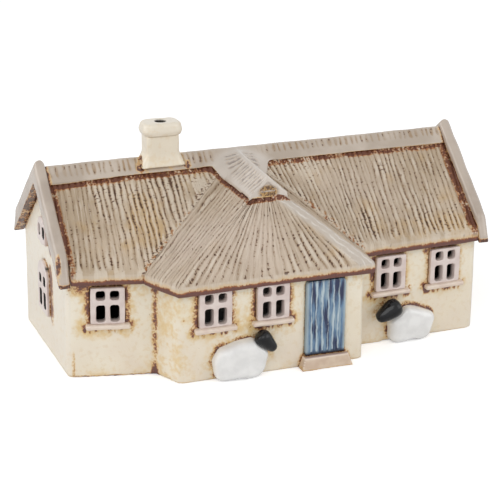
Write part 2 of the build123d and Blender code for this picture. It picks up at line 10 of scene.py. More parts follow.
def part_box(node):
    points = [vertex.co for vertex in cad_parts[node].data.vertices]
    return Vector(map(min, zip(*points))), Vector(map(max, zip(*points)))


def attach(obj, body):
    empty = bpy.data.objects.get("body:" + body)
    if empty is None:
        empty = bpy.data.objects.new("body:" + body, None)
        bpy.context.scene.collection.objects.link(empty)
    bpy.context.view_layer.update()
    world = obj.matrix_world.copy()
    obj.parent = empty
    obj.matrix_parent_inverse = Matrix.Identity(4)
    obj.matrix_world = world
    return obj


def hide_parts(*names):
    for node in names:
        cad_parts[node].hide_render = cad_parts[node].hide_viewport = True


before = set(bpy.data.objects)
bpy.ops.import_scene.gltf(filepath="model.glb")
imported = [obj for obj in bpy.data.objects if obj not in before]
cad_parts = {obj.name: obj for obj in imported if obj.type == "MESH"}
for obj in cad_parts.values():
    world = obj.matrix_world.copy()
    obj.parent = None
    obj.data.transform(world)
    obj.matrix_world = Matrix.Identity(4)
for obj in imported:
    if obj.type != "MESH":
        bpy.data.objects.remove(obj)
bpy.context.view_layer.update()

# Walls
# The hollow body of the lantern: slabs of pale clay run together at soft corners, all in one casting.
# Cream glaze covers them, and an iron-brown wash was brushed into every joint before the firing. Faces
# towards the hollow are painted dark as shade.
mm = 0.001
per_mm = 1 / mm
weld = 0.001 * mm
wall_grain = 0.86 * mm
wall_lumps = (0.22 * mm, 14 * mm)


def nodes_with(*words):
    """The CAD nodes whose names hold one of these words."""
    return sorted(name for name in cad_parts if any(word in name for word in words))


wall_nodes = nodes_with("wall", "cheek")
thatch_nodes = nodes_with("thatch")
window_nodes = nodes_with("window")
gable_window_nodes = [node for node in window_nodes if "gable" in node]
left_window_nodes = ["left_window", "bay_left_window", "bay_right_window"]
right_window_nodes = ["right_inner_window", "right_outer_window"]
sill_nodes = nodes_with("sill")
coping_nodes = nodes_with("coping")
cap_nodes = nodes_with("ridge_cap")
fleece_nodes = nodes_with("fleece")
head_nodes = nodes_with("head")


def settle(piece):
    """Makes a plain, smooth-shaded mesh of a piece and its modifiers."""
    graph = bpy.context.evaluated_depsgraph_get()
    shaped = piece.evaluated_get(graph)
    mesh = bpy.data.meshes.new_from_object(shaped, preserve_all_data_layers=True, depsgraph=graph)
    piece.modifiers.clear()
    piece.data = mesh
    mesh.shade_smooth()


def new_piece(name, mesh):
    piece = bpy.data.objects.new(name, mesh)
    bpy.context.scene.collection.objects.link(piece)
    return piece


def merged(nodes):
    """A mesh of these CAD nodes, each with its loose triangles joined."""
    lump = bmesh.new()
    for node in nodes:
        known = len(lump.verts)
        lump.from_mesh(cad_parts[node].data)
        lump.verts.ensure_lookup_table()
        bmesh.ops.remove_doubles(lump, verts=lump.verts[known:], dist=weld)
    return lump


def soft_clay(name, nodes, grain, rubs):
    """One lump of clay in the shape of these CAD nodes, meshed at that grain and rubbed soft so often."""
    lump = merged(nodes)
    mesh = bpy.data.meshes.new(name)
    lump.to_mesh(mesh)
    lump.free()
    mesh.materials.clear()
    piece = new_piece(name, mesh)
    cast = piece.modifiers.new("cast", "REMESH")
    cast.mode = "VOXEL"
    cast.voxel_size = grain
    rub = piece.modifiers.new("rub", "SMOOTH")
    rub.factor = 0.5
    rub.iterations = rubs
    settle(piece)
    return piece


def rumple(piece, depth, size):
    """Hand-pressed clay is never flat: hollows and swellings of that depth, about size across."""
    mesh = piece.data
    normals = [vertex.normal.copy() for vertex in mesh.vertices]
    for vertex, normal in zip(mesh.vertices, normals):
        vertex.co += normal * depth * noise.noise(vertex.co / size)
        vertex.co.z = max(0, vertex.co.z)


surfaces = {}


def surface_of(nodes):
    key = tuple(nodes)
    if key not in surfaces:
        lump = merged(nodes)
        surfaces[key] = BVHTree.FromBMesh(lump)
        lump.free()
    return surfaces[key]


along_front = Vector((1, 0, 0))
along_gable = Vector((0, 1, 0))
all_round = (1, 1, 1, 1)


def nearness(piece, nodes, width, sides=all_round, sideways=along_front):
    """1 where the piece touches these nodes, down to 0 at that width, weighed by the side it lies on."""
    left, right, above, below = sides
    surface = surface_of(nodes)
    near = np.zeros(len(piece.data.vertices))
    for vertex in piece.data.vertices:
        touched, _, _, gap = surface.find_nearest(vertex.co, width)
        if touched is None:
            continue
        away = vertex.co - touched
        across = away.dot(sideways)
        if abs(away.z) > abs(across):
            side = above if away.z > 0 else below
        else:
            side = right if across > 0 else left
        near[vertex.index] = side * (1 - gap / width)
    return near


def paint(piece, name, values):
    """Keeps one number for each vertex, which the glazes read."""
    layer = piece.data.attributes.get(name) or piece.data.attributes.new(name, "FLOAT", "POINT")
    layer.data.foreach_set("value", np.asarray(values, dtype=np.float32))


def places(piece):
    flat = np.zeros(3 * len(piece.data.vertices), dtype=np.float32)
    piece.data.vertices.foreach_get("co", flat)
    return flat.reshape(-1, 3)


def facings(piece):
    flat = np.zeros(3 * len(piece.data.vertices), dtype=np.float32)
    piece.data.vertices.foreach_get("normal", flat)
    return flat.reshape(-1, 3)


def hollow_shading(piece, clear=4.2 * mm):
    """Share of painted shade: 1 on what faces the hollow of the lantern, down to 0 where a place is that far
    outside it.
    """
    floor = surface_of(["base_slab"])
    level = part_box("base_slab")[1].z / 2
    hollow_shade = np.zeros(len(piece.data.vertices))
    for vertex in piece.data.vertices:
        x, y, _ = vertex.co
        if floor.ray_cast((x, y, 1), (0, 0, -1))[0]:
            hollow_shade[vertex.index] = 1
            continue
        touched, _, _, gap = floor.find_nearest((x, y, level), clear)
        if touched:
            hollow_shade[vertex.index] = min(1, (clear - gap) / (0.6 * clear))
    return hollow_shade


def fading(distance, full, none):
    """1 up to the first distance, falling to 0 at the second."""
    return np.clip((none - distance) / (none - full), 0, 1)


walls = soft_clay("walls", wall_nodes, wall_grain, 3)
rumple(walls, *wall_lumps)
wall_x, wall_y, wall_z = places(walls).T

# The wash lies where the brush went: under eaves, round frames, down the bay's left joint, along the foot
joint_width = 2.6 * mm
joint = np.minimum(
    nearness(walls, ["bay_cheek_left"], joint_width), nearness(walls, ["front_wall_left"], joint_width)
)
# The wash down the bay's joint is made darker near the eave and near the foot.
eave_level = 43 * mm
deeper_near_eave_and_foot = np.maximum(fading(abs(wall_z - eave_level), 0, 7 * mm), fading(wall_z, 0, 4 * mm))
wall_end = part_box("front_wall_left")[0].x
left_part_end = -60 * mm
left_part_front = -34 * mm
on_left_front = (wall_x < left_part_end) * (wall_y < left_part_front)
corner_line = fading(abs(wall_x - wall_end - 1.6 * mm), 0, 1.1 * mm)
corner_line = corner_line * fading(wall_z, 9 * mm, 15 * mm) * on_left_front
foot_line = fading(wall_z, 0, 1.3 * mm) * (0.35 + 0.5 * on_left_front)
drips = np.clip(1.6 * np.sin(wall_x / (0.55 * mm) + 2 * np.sin(wall_x / (1.7 * mm))) + 0.6, 0.25, 1)
fleece_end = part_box("left_sheep_fleece")[1].x
outer_low, outer_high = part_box("right_outer_window")
bay_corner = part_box("bay_front_wall")[0]
front_side = -30 * mm


def dab(x, z, wide, tall):
    """One dab of the brush on the front walls."""
    return np.exp(-((wall_x - x) / wide) ** 2 - ((wall_z - z) / tall) ** 2) * (wall_y < front_side)


inner_low, inner_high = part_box("right_inner_window")
left_of_gap = wall_x < (inner_low.x + inner_high.x) / 2
under_left_eave = 1.2 * nearness(walls, thatch_nodes + coping_nodes, 7.0 * mm)
under_left_eave = under_left_eave * fading(wall_x, -84 * mm, -76 * mm) * on_left_front
paint(walls, "wash", np.max([
    nearness(walls, thatch_nodes + coping_nodes, 3.0 * mm),
    nearness(walls, left_window_nodes + ["right_inner_window"], 3.6 * mm, (1.25, 0.95, 0.9, 0)) * left_of_gap,
    nearness(walls, right_window_nodes, 3.0 * mm, (0.8, 0.6, 0.9, 0)),
    np.minimum(1.2, 2.0 * nearness(walls, gable_window_nodes, 7 * mm, (1, 0.1, 0.08, 0), along_gable)),
    nearness(walls, ["left_window"], 3.4 * mm, (1.2, 1.35, 0.6, 0)),
    nearness(walls, sill_nodes, 3.0 * mm, (0.9, 0.9, 0, 0)),
    nearness(walls, sill_nodes, 3.6 * mm, (0, 0, 0, 1.5)) * drips,
    dab(fleece_end + 3.2 * mm, 12 * mm, 1.4 * mm, 5 * mm) * 0.8,
    dab(outer_low.x - 2 * mm, outer_high.z - 0.5 * mm, 1.5 * mm, 1.8 * mm) * 0.8,
    dab(bay_corner.x + 1.5 * mm, 29 * mm, 0.8 * mm, 0.6 * mm),
    nearness(walls, fleece_nodes, 2.4 * mm, (0.9, 1.2, 1.05, 0.6)),
    nearness(walls, head_nodes, 4.2 * mm, (0.85, 0.85, 0.7, 1.1)),
    nearness(walls, ["front_door"], 1.0 * mm, (0.75, 0.75, 0.7, 0.5)),
    nearness(walls, ["doorstep"], 1.8 * mm, (0.9, 0.9, 0.8, 0.5)),
    under_left_eave,
    joint * (0.85 + 0.9 * deeper_near_eave_and_foot) + deeper_near_eave_and_foot * fading(1 - joint, 0.2, 1.0) * 0.5,
    corner_line * 0.7,
    foot_line,
], axis=0))
on_gable = abs(wall_x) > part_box("right_gable_wall")[1].x - 1.5 * mm
paint(walls, "stain", np.where(on_gable, 0.15, np.where(left_of_gap, 1, 0.55)) * np.max([
    nearness(walls, thatch_nodes + coping_nodes, 12 * mm),
    nearness(walls, window_nodes + sill_nodes, 8 * mm),
    nearness(walls, fleece_nodes + head_nodes, 6 * mm) * 0.8,
    nearness(walls, ["bay_cheek_left"], 8 * mm) * 0.55,
    fading(wall_z, 0, 7 * mm) * 0.5,
], axis=0))
paint(walls, "white", 0.45 * on_gable)
# Faces towards the hollow are painted dark as shade.
paint(walls, "hollow_shade", hollow_shading(walls))


def add(tree, kind, inputs, **settings):
    """A new node with these settings, its inputs linked or set; gives its outputs."""
    made = tree.nodes.new(kind)
    for setting, value in settings.items():
        setattr(made, setting, value)
    for socket, value in inputs.items():
        if isinstance(value, bpy.types.NodeSocket):
            tree.links.new(value, made.inputs[socket])
        else:
            made.inputs[socket].default_value = value
    return made.outputs


def calc(tree, operation, first, second=0.0, third=0.0):
    return add(tree, "ShaderNodeMath", {0: first, 1: second, 2: third}, operation=operation)[0]


def rise(tree, value, start, end):
    """0 up to start, 1 from end on, and a soft rise between them."""
    limits = {"Value": value, "From Min": start, "From Max": end}
    return add(tree, "ShaderNodeMapRange", limits, interpolation_type="SMOOTHSTEP")[0]


def tint(tree, share, under, over):
    """Colour over laid on colour under, by share."""
    return add(tree, "ShaderNodeMix", {0: share, 6: under, 7: over}, data_type="RGBA")[2]


def grain_of(tree, where, per_metre, detail=3.0):
    """Soft random cloud from 0 to 1, with lumps 1 / per_metre across."""
    return add(tree, "ShaderNodeTexNoise", {"Vector": where, "Scale": per_metre, "Detail": detail})[0]


def painted(tree, name):
    return add(tree, "ShaderNodeAttribute", {}, attribute_name=name)["Fac"]


def hue(red, green, blue):
    """A colour as seen on a screen, 0 to 255, turned into light."""
    shares = [value / 255 for value in (red, green, blue)]
    return tuple(((s + 0.055) / 1.055) ** 2.4 if s > 0.04045 else s / 12.92 for s in shares) + (1,)


ochre = hue(224, 188, 126)
rust = hue(164, 98, 50)
purple_brown = hue(112, 74, 66)
# Near-black brown painted as the shade inside the lantern and down the flue
shade_black = hue(26, 21, 18)


def glaze(name, roughness, coat):
    """A fired glaze: its material, node tree, shader and the place on the piece."""
    material = bpy.data.materials.new(name)
    material.use_nodes = True
    tree = material.node_tree
    shader = tree.nodes["Principled BSDF"]
    shader.inputs["Roughness"].default_value = roughness
    shader.inputs["Coat Weight"].default_value = coat
    shader.inputs["Coat Roughness"].default_value = 0.1
    where = add(tree, "ShaderNodeTexCoord", {})["Object"]
    return material, tree, shader, where


def ragged(tree, where):
    """Torn cloud from 0 to 1, as a dabbing brush leaves it."""
    small = grain_of(tree, where, 1.1 * per_mm, 4.0)
    large = grain_of(tree, where, 0.22 * per_mm, 2.0)
    return rise(tree, calc(tree, "ADD", small, large), 0.68, 1.32)


def washed(tree, colour, where, wash, deep=purple_brown, thin=ochre, torn=1.15):
    """Iron wash on a glaze: ochre where it thins out, rust inside that, purple-brown where it lies thick."""
    thick = calc(tree, "MULTIPLY", wash, calc(tree, "MULTIPLY_ADD", ragged(tree, where), torn, 1.47 - torn))
    colour = tint(tree, calc(tree, "MULTIPLY", rise(tree, thick, 0.1, 0.48), 0.75), colour, thin)
    colour = tint(tree, calc(tree, "MULTIPLY", rise(tree, thick, 0.36, 0.72), 0.9), colour, rust)
    return tint(tree, rise(tree, thick, 0.62, 0.92), colour, deep)


def finish_glaze(tree, shader, colour, height, relief):
    """Links a glaze's colour, painted dark as shade where it faces the hollow, and a relief of that height in
    its skin.
    """
    colour = tint(tree, painted(tree, "hollow_shade"), colour, shade_black)
    tree.links.new(colour, shader.inputs["Base Color"])
    skin = add(tree, "ShaderNodeBump", {"Height": height, "Distance": relief, "Strength": 1.0})[0]
    tree.links.new(skin, shader.inputs["Normal"])


def cream_glaze():
    material, tree, shader, where = glaze("cream glaze", 0.3, 0.35)
    clouds = rise(tree, grain_of(tree, where, 0.035 * per_mm), 0.35, 0.65)
    colour = tint(tree, clouds, hue(243, 234, 215), hue(239, 227, 203))
    low = add(tree, "ShaderNodeSeparateXYZ", {0: where})[2]
    blush = rise(tree, grain_of(tree, where, 0.06 * per_mm), 0.2, 0.8)
    rosy = calc(tree, "MULTIPLY", rise(tree, low, 34 * mm, 8 * mm), blush)
    colour = tint(tree, rosy, colour, hue(235, 221, 201))
    colour = tint(tree, painted(tree, "white"), colour, hue(233, 225, 212))
    mottle = grain_of(tree, where, 0.5 * per_mm, 6.0)
    mottled = calc(tree, "MULTIPLY", rise(tree, mottle, 0.52, 0.66), 0.35)
    colour = tint(tree, mottled, colour, hue(228, 208, 174))
    blotches = calc(tree, "ADD", mottle, grain_of(tree, where, 0.13 * per_mm, 3.0))
    stain = calc(tree, "MULTIPLY", painted(tree, "stain"), rise(tree, blotches, 0.65, 1.3))
    colour = tint(tree, calc(tree, "MULTIPLY", rise(tree, stain, 0.05, 0.7), 0.9), colour, hue(230, 200, 142))
    flecks = rise(tree, grain_of(tree, where, 0.6 * per_mm, 2.0), 0.75, 0.79)
    colour = tint(tree, calc(tree, "MULTIPLY", flecks, 0.8), colour, hue(150, 110, 66))
    colour = washed(tree, colour, where, painted(tree, "wash"))
    finish_glaze(tree, shader, colour, mottle, 0.12 * mm)
    return material


wall_glaze = cream_glaze()


def keep(piece, material, slot, *nodes):
    """Puts a finished piece in the place of its CAD nodes."""
    piece.data.materials.clear()
    piece.data.materials.append(material)
    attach(piece, "root")
    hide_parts(*nodes)


keep(walls, wall_glaze, "ivory_wall", *wall_nodes)

# Floor slab
# The flat clay floor that the tea light stands on, let in between the feet of the walls.
# It has a thin cream glaze, worn and speckled, painted dark brown on top as the shade inside the lantern, and
# is bare below.


def slab_glaze():
    material, tree, shader, where = glaze("slab glaze", 0.85, 0.0)
    shader.inputs["Specular IOR Level"].default_value = 0.1
    clouds = grain_of(tree, where, 0.08 * per_mm, 5.0)
    colour = tint(tree, rise(tree, clouds, 0.35, 0.65), hue(222, 206, 178), hue(200, 180, 150))
    flecks = rise(tree, grain_of(tree, where, 0.7 * per_mm, 2.0), 0.68, 0.75)
    colour = tint(tree, flecks, colour, hue(140, 104, 70))
    level = add(tree, "ShaderNodeSeparateXYZ", {0: where})[2]
    # Painted shade: the top of the slab inside the walls is darkened to near-black brown.
    floor_shade = calc(tree, "MULTIPLY", rise(tree, level, 2 * mm, 3.5 * mm), rise(tree, clouds, 0.9, 0.5))
    colour = tint(tree, floor_shade, colour, hue(42, 33, 27))
    finish_glaze(tree, shader, colour, clouds, 0.2 * mm)
    return material


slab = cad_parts["base_slab"]
slab.data.materials.clear()
slab.data.materials.append(slab_glaze())

# Windows and sills
# Frames pierced with panes, pressed from thin clay and set through the walls, the front ones over a sill.
# Pinkish glaze, with brown wash run in where they meet the wall, and painted shade on faces towards the
# hollow and inside the gable panes.
frame_grain = 0.34 * mm
frame_lumps = (0.16 * mm, 6 * mm)
sill_lumps = (0.25 * mm, 4 * mm)


def rosy_glaze(name, pale, deep):
    material, tree, shader, where = glaze(name, 0.28, 0.35)
    clouds = grain_of(tree, where, 0.2 * per_mm, 4.0)
    colour = tint(tree, rise(tree, clouds, 0.35, 0.65), pale, deep)
    colour = washed(tree, colour, where, painted(tree, "wash"))
    finish_glaze(tree, shader, colour, clouds, 0.1 * mm)
    return material


window_glaze = rosy_glaze("window glaze", hue(229, 215, 208), hue(218, 201, 194))
sill_glaze = rosy_glaze("sill glaze", hue(233, 217, 200), hue(224, 203, 188))
for node in window_nodes:
    window = soft_clay(node + "_frame", [node], frame_grain, 1)
    rumple(window, *frame_lumps)
    paint(window, "wash", nearness(window, wall_nodes + thatch_nodes, 0.7 * mm) * 0.6)
    # Faces towards the hollow, and the reveals inside the gable panes, are painted dark as shade.
    shaded = hollow_shading(window)
    if node in gable_window_nodes:
        low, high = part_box(node)
        _, y, z = places(window).T
        inset = np.minimum(np.minimum(y - low.y, high.y - y), np.minimum(z - low.z, high.z - z))
        inside_pane = (abs(facings(window)[:, 0]) < 0.75) * (1 - fading(inset, 1.2 * mm, 2.2 * mm))
        shaded = np.maximum(shaded, inside_pane)
    paint(window, "hollow_shade", shaded)
    keep(window, window_glaze, "window_frame", node)
for node in sill_nodes:
    sill = soft_clay(node + "_roll", [node], frame_grain, 2)
    rumple(sill, *sill_lumps)
    paint(sill, "wash", nearness(sill, wall_nodes, 0.6 * mm) * 0.5)
    keep(sill, sill_glaze, "sill", node)

# Thatch
# Clay roof slopes, combed down from the ridge to the eaves with a toothed tool to look like straw.
# Taupe glaze over them, with the brown wash left in the grooves and along every edge; painted highlights on
# the rib crests and the eave lip, and painted shade in the troughs, under the eave nose and on the hidden
# underside.
comb_pitch = 2.4 * mm
comb_depth = 0.75 * mm
straw_lumps = (0.25 * mm, 9 * mm)
columns_per_pitch = 10
thatch_rows = 48
nose_steps = 10
nose_reach = 1.3 * mm
soffit_depth = 7 * mm
eave_smooth = 3.4 * mm
tuck = 0.9 * mm
valley_spread = 3.6 * mm


def reach(node, direction):
    """The corner of a CAD node that lies furthest that way."""
    heading = Vector(direction)
    return max((vertex.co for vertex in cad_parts[node].data.vertices), key=heading.dot)


def slope_of(node):
    """Height of a CAD node's widest upward face over a place in plan."""
    areas = {}
    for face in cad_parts[node].data.polygons:
        if face.normal.z > 0.2:
            key = tuple(round(value, 3) for value in face.normal)
            area, _ = areas.get(key, (0, None))
            areas[key] = (area + face.area, face.center.copy())
    normal, (_, centre) = max(areas.items(), key=lambda item: item[1][0])
    return lambda x, y: centre.z - (normal[0] * (x - centre.x) + normal[1] * (y - centre.y)) / normal[2]


thatch_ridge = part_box("main_thatch_back")[1].z
front_eaves = [
    reach("main_thatch_front_left", (-9, -1, 0.1)),
    reach("main_thatch_front_left", (0, -9, 0.1)),
    reach("main_thatch_front_right", (0, -9, 0.1)),
    reach("main_thatch_front_right", (9, -1, 0.1)),
]
back_eaves = [reach("main_thatch_back", (-9, 1, 0.1)), reach("main_thatch_back", (9, 1, 0.1))]
eave_top = back_eaves[0].z
straw_depth = eave_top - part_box("main_thatch_back")[0].z


def eave_line(x, corners):
    return float(np.interp(x, [corner.x for corner in corners], [corner.y for corner in corners]))


def front_height(x, y):
    """Height of the front slopes, straight from the ridge down to the eave at every place along the house."""
    return thatch_ridge + (eave_top - thatch_ridge) * y / eave_line(x, front_eaves)


def back_height(x, y):
    return thatch_ridge + (eave_top - thatch_ridge) * y / eave_line(x, back_eaves)


def straw_line(top, eave, height, smooth=eave_smooth, foot=None):
    """One closed line round a slope's thickness: down the straw, round the nose at the eave, back below."""
    top, eave = Vector(top), Vector(eave)
    length = (eave - top).length
    sag = height(*eave) - foot if foot else 0
    line = [((length - nose_reach) * row / thatch_rows, 0, 0) for row in range(thatch_rows)]
    for step in range(nose_steps + 1):
        turn = math.pi * step / nose_steps
        bulge = max(0, math.sin(turn)) ** 0.55
        line.append((length - nose_reach + nose_reach * bulge, (1 - math.cos(turn)) / 2, 0))
    line.append((max(0.6 * length, length - soffit_depth), 1, 1))
    line.append((0, 1, 1))
    points = []
    for run, share, _ in line:
        place = top.lerp(eave, run / length)
        lowered = share * straw_depth + sag * (run / length) ** 1.5
        points.append(Vector((place.x, place.y, height(place.x, place.y) - lowered)))
    runs = [run for run, _, _ in line]
    inside = [hidden for _, _, hidden in line]
    dips = [share * (1 - hidden) for _, share, hidden in line]
    smooth_from, smooth_to = length - smooth, length - 0.35 * smooth
    combed = [
        float(fading(share, 0.25, 0.45) * fading(run, smooth_from, smooth_to)) for run, share, _ in line
    ]
    return points, runs, inside, dips, combed


def thatch_panel(name, lines, across):
    """A closed sheet of thatch through these straw lines, which lie that far across the slope."""
    mesh = bmesh.new()
    rings = [[mesh.verts.new(point) for point in line[0]] for line in lines]
    size = len(rings[0])
    for ring, other in zip(rings, rings[1:]):
        for place in range(size):
            after = (place + 1) % size
            mesh.faces.new((ring[place], ring[after], other[after], other[place]))
    mesh.faces.new(rings[0][::-1])
    mesh.faces.new(rings[-1])
    bmesh.ops.recalc_face_normals(mesh, faces=mesh.faces)
    made = bpy.data.meshes.new(name)
    mesh.to_mesh(made)
    mesh.free()
    made.shade_smooth()
    piece = new_piece(name, made)
    paint(piece, "across", [place for place in across for _ in range(size)])
    # The hidden underside of each slope is marked for painted shade.
    for layer, column in (("along", 1), ("hollow_shade", 2), ("dip", 3), ("skin", 4)):
        paint(piece, layer, [value for line in lines for value in line[column]])
    return piece


def painted_on(piece, name):
    values = np.zeros(len(piece.data.vertices), dtype=np.float32)
    piece.data.attributes[name].data.foreach_get("value", values)
    return values


def specks(piece, size):
    """1 in scattered specks about size across, 0 between them."""
    cloud = [noise.noise(vertex.co / size) for vertex in piece.data.vertices]
    return np.array([min(1, max(0, 4 * value - 0.2)) for value in cloud])


def dabs(piece, *spots):
    """Sum of soft dabs of a brush: each has a place in plan and half widths, in millimetres, and a weight."""
    x, y, _ = places(piece).T
    total = np.zeros(len(x))
    for spot_x, spot_y, wide, deep, weight in spots:
        off_x = (x - spot_x * mm) / (wide * mm)
        off_y = (y - spot_y * mm) / (deep * mm)
        total += weight * np.exp(-off_x ** 2 - off_y ** 2)
    return total


def comb_tree():
    """Geometry nodes that drag a comb over a piece, along its painted across and along."""
    tree = bpy.data.node_groups.new("combed clay", "GeometryNodeTree")
    sockets = tree.interface
    sockets.new_socket("Geometry", in_out="INPUT", socket_type="NodeSocketGeometry")
    sockets.new_socket("Geometry", in_out="OUTPUT", socket_type="NodeSocketGeometry")
    for name in ("Pitch", "Depth", "Sharpness", "Waver", "Seed"):
        sockets.new_socket(name, in_out="INPUT", socket_type="NodeSocketFloat")
    sockets.new_socket("Material", in_out="INPUT", socket_type="NodeSocketMaterial")
    given = tree.nodes.new("NodeGroupInput").outputs

    def stored(name):
        return add(tree, "GeometryNodeInputNamedAttribute", {"Name": name}, data_type="FLOAT")["Attribute"]

    def wander(first, second):
        point = add(tree, "ShaderNodeCombineXYZ", {0: first, 1: second, 2: given["Seed"]})[0]
        return add(tree, "ShaderNodeTexNoise", {"Vector": point, "Scale": 1.0, "Detail": 2.0})[0]

    across = stored("across")
    along = stored("along")
    spacing = stored("spacing")
    def scaled(value, per_metre):
        return calc(tree, "MULTIPLY", value, per_metre)

    drift = wander(scaled(across, 0.16 * per_mm), scaled(along, 0.05 * per_mm))
    shake = wander(scaled(across, 0.5 * per_mm), scaled(along, 0.25 * per_mm))
    drift = calc(tree, "ADD", drift, calc(tree, "MULTIPLY", shake, 0.4))
    drift = calc(tree, "MULTIPLY", calc(tree, "SUBTRACT", drift, 0.7), given["Waver"])
    phase = calc(tree, "ADD", calc(tree, "DIVIDE", across, given["Pitch"]), drift)
    tooth = calc(tree, "FLOOR", phase)
    ridge = calc(tree, "SINE", calc(tree, "MULTIPLY", calc(tree, "FRACT", phase), math.pi))
    sharpness = calc(tree, "MULTIPLY", calc(tree, "MINIMUM", spacing, 1.0), given["Sharpness"])
    groove = calc(tree, "POWER", calc(tree, "SUBTRACT", 1.0, ridge), sharpness)
    press = wander(calc(tree, "MULTIPLY", tooth, 3.7), calc(tree, "MULTIPLY", along, 0.09 * per_mm))
    groove = calc(tree, "MULTIPLY", groove, rise(tree, press, 0.1, 0.5))
    # Where the lines crowd together, every second one stops short, then every fourth
    halves = calc(tree, "PINGPONG", tooth, 1.0)
    quarters = calc(tree, "PINGPONG", calc(tree, "MULTIPLY", tooth, 0.5), 1.0)
    halves = calc(tree, "MAXIMUM", calc(tree, "SUBTRACT", 1.0, halves), rise(tree, spacing, 0.65, 0.95))
    quarters = calc(tree, "MAXIMUM", calc(tree, "SUBTRACT", 1.0, quarters), rise(tree, spacing, 0.36, 0.55))
    groove = calc(tree, "MULTIPLY", groove, calc(tree, "MULTIPLY", halves, quarters))
    groove = calc(tree, "MULTIPLY", groove, stored("skin"))
    lower = calc(tree, "MULTIPLY", calc(tree, "MULTIPLY", groove, given["Depth"]), -1.0)
    normal = add(tree, "GeometryNodeInputNormal", {})[0]
    shift = add(tree, "ShaderNodeVectorMath", {0: normal, "Scale": lower}, operation="SCALE")[0]
    shape = given["Geometry"]
    for name, value in (("groove", groove), ("press", press)):
        kept = {"Geometry": shape, "Name": name, "Value": value}
        shape = add(tree, "GeometryNodeStoreNamedAttribute", kept, data_type="FLOAT", domain="POINT")[0]
    shape = add(tree, "GeometryNodeSetPosition", {"Geometry": shape, "Offset": shift})[0]
    shape = add(tree, "GeometryNodeRealizeInstances", {"Geometry": shape})[0]
    shape = add(tree, "GeometryNodeSetMaterial", {"Geometry": shape, "Material": given["Material"]})[0]
    tree.links.new(shape, tree.nodes.new("NodeGroupOutput").inputs["Geometry"])
    return tree


combed_clay = comb_tree()
comb_sockets = [item for item in combed_clay.interface.items_tree if item.in_out == "INPUT"]
comb_inputs = {item.name: item.identifier for item in comb_sockets}


def comb(piece, material, **settings):
    """Combs a piece with its across, along and skin painted, and its spacing where the lines crowd."""
    if "spacing" not in piece.data.attributes:
        paint(piece, "spacing", np.ones(len(piece.data.vertices)))
    drag = piece.modifiers.new("comb", "NODES")
    drag.node_group = combed_clay
    for name, value in settings.items():
        drag[comb_inputs[name]] = value
    drag[comb_inputs["Material"]] = material
    settle(piece)


def flowing(tree, per_across, per_along, detail):
    """Cloud drawn out along the straw, with so many lumps to a metre across it and along it."""
    place = {0: calc(tree, "MULTIPLY", painted(tree, "across"), per_across),
             1: calc(tree, "MULTIPLY", painted(tree, "along"), per_along)}
    return grain_of(tree, add(tree, "ShaderNodeCombineXYZ", place)[0], 1.0, detail)


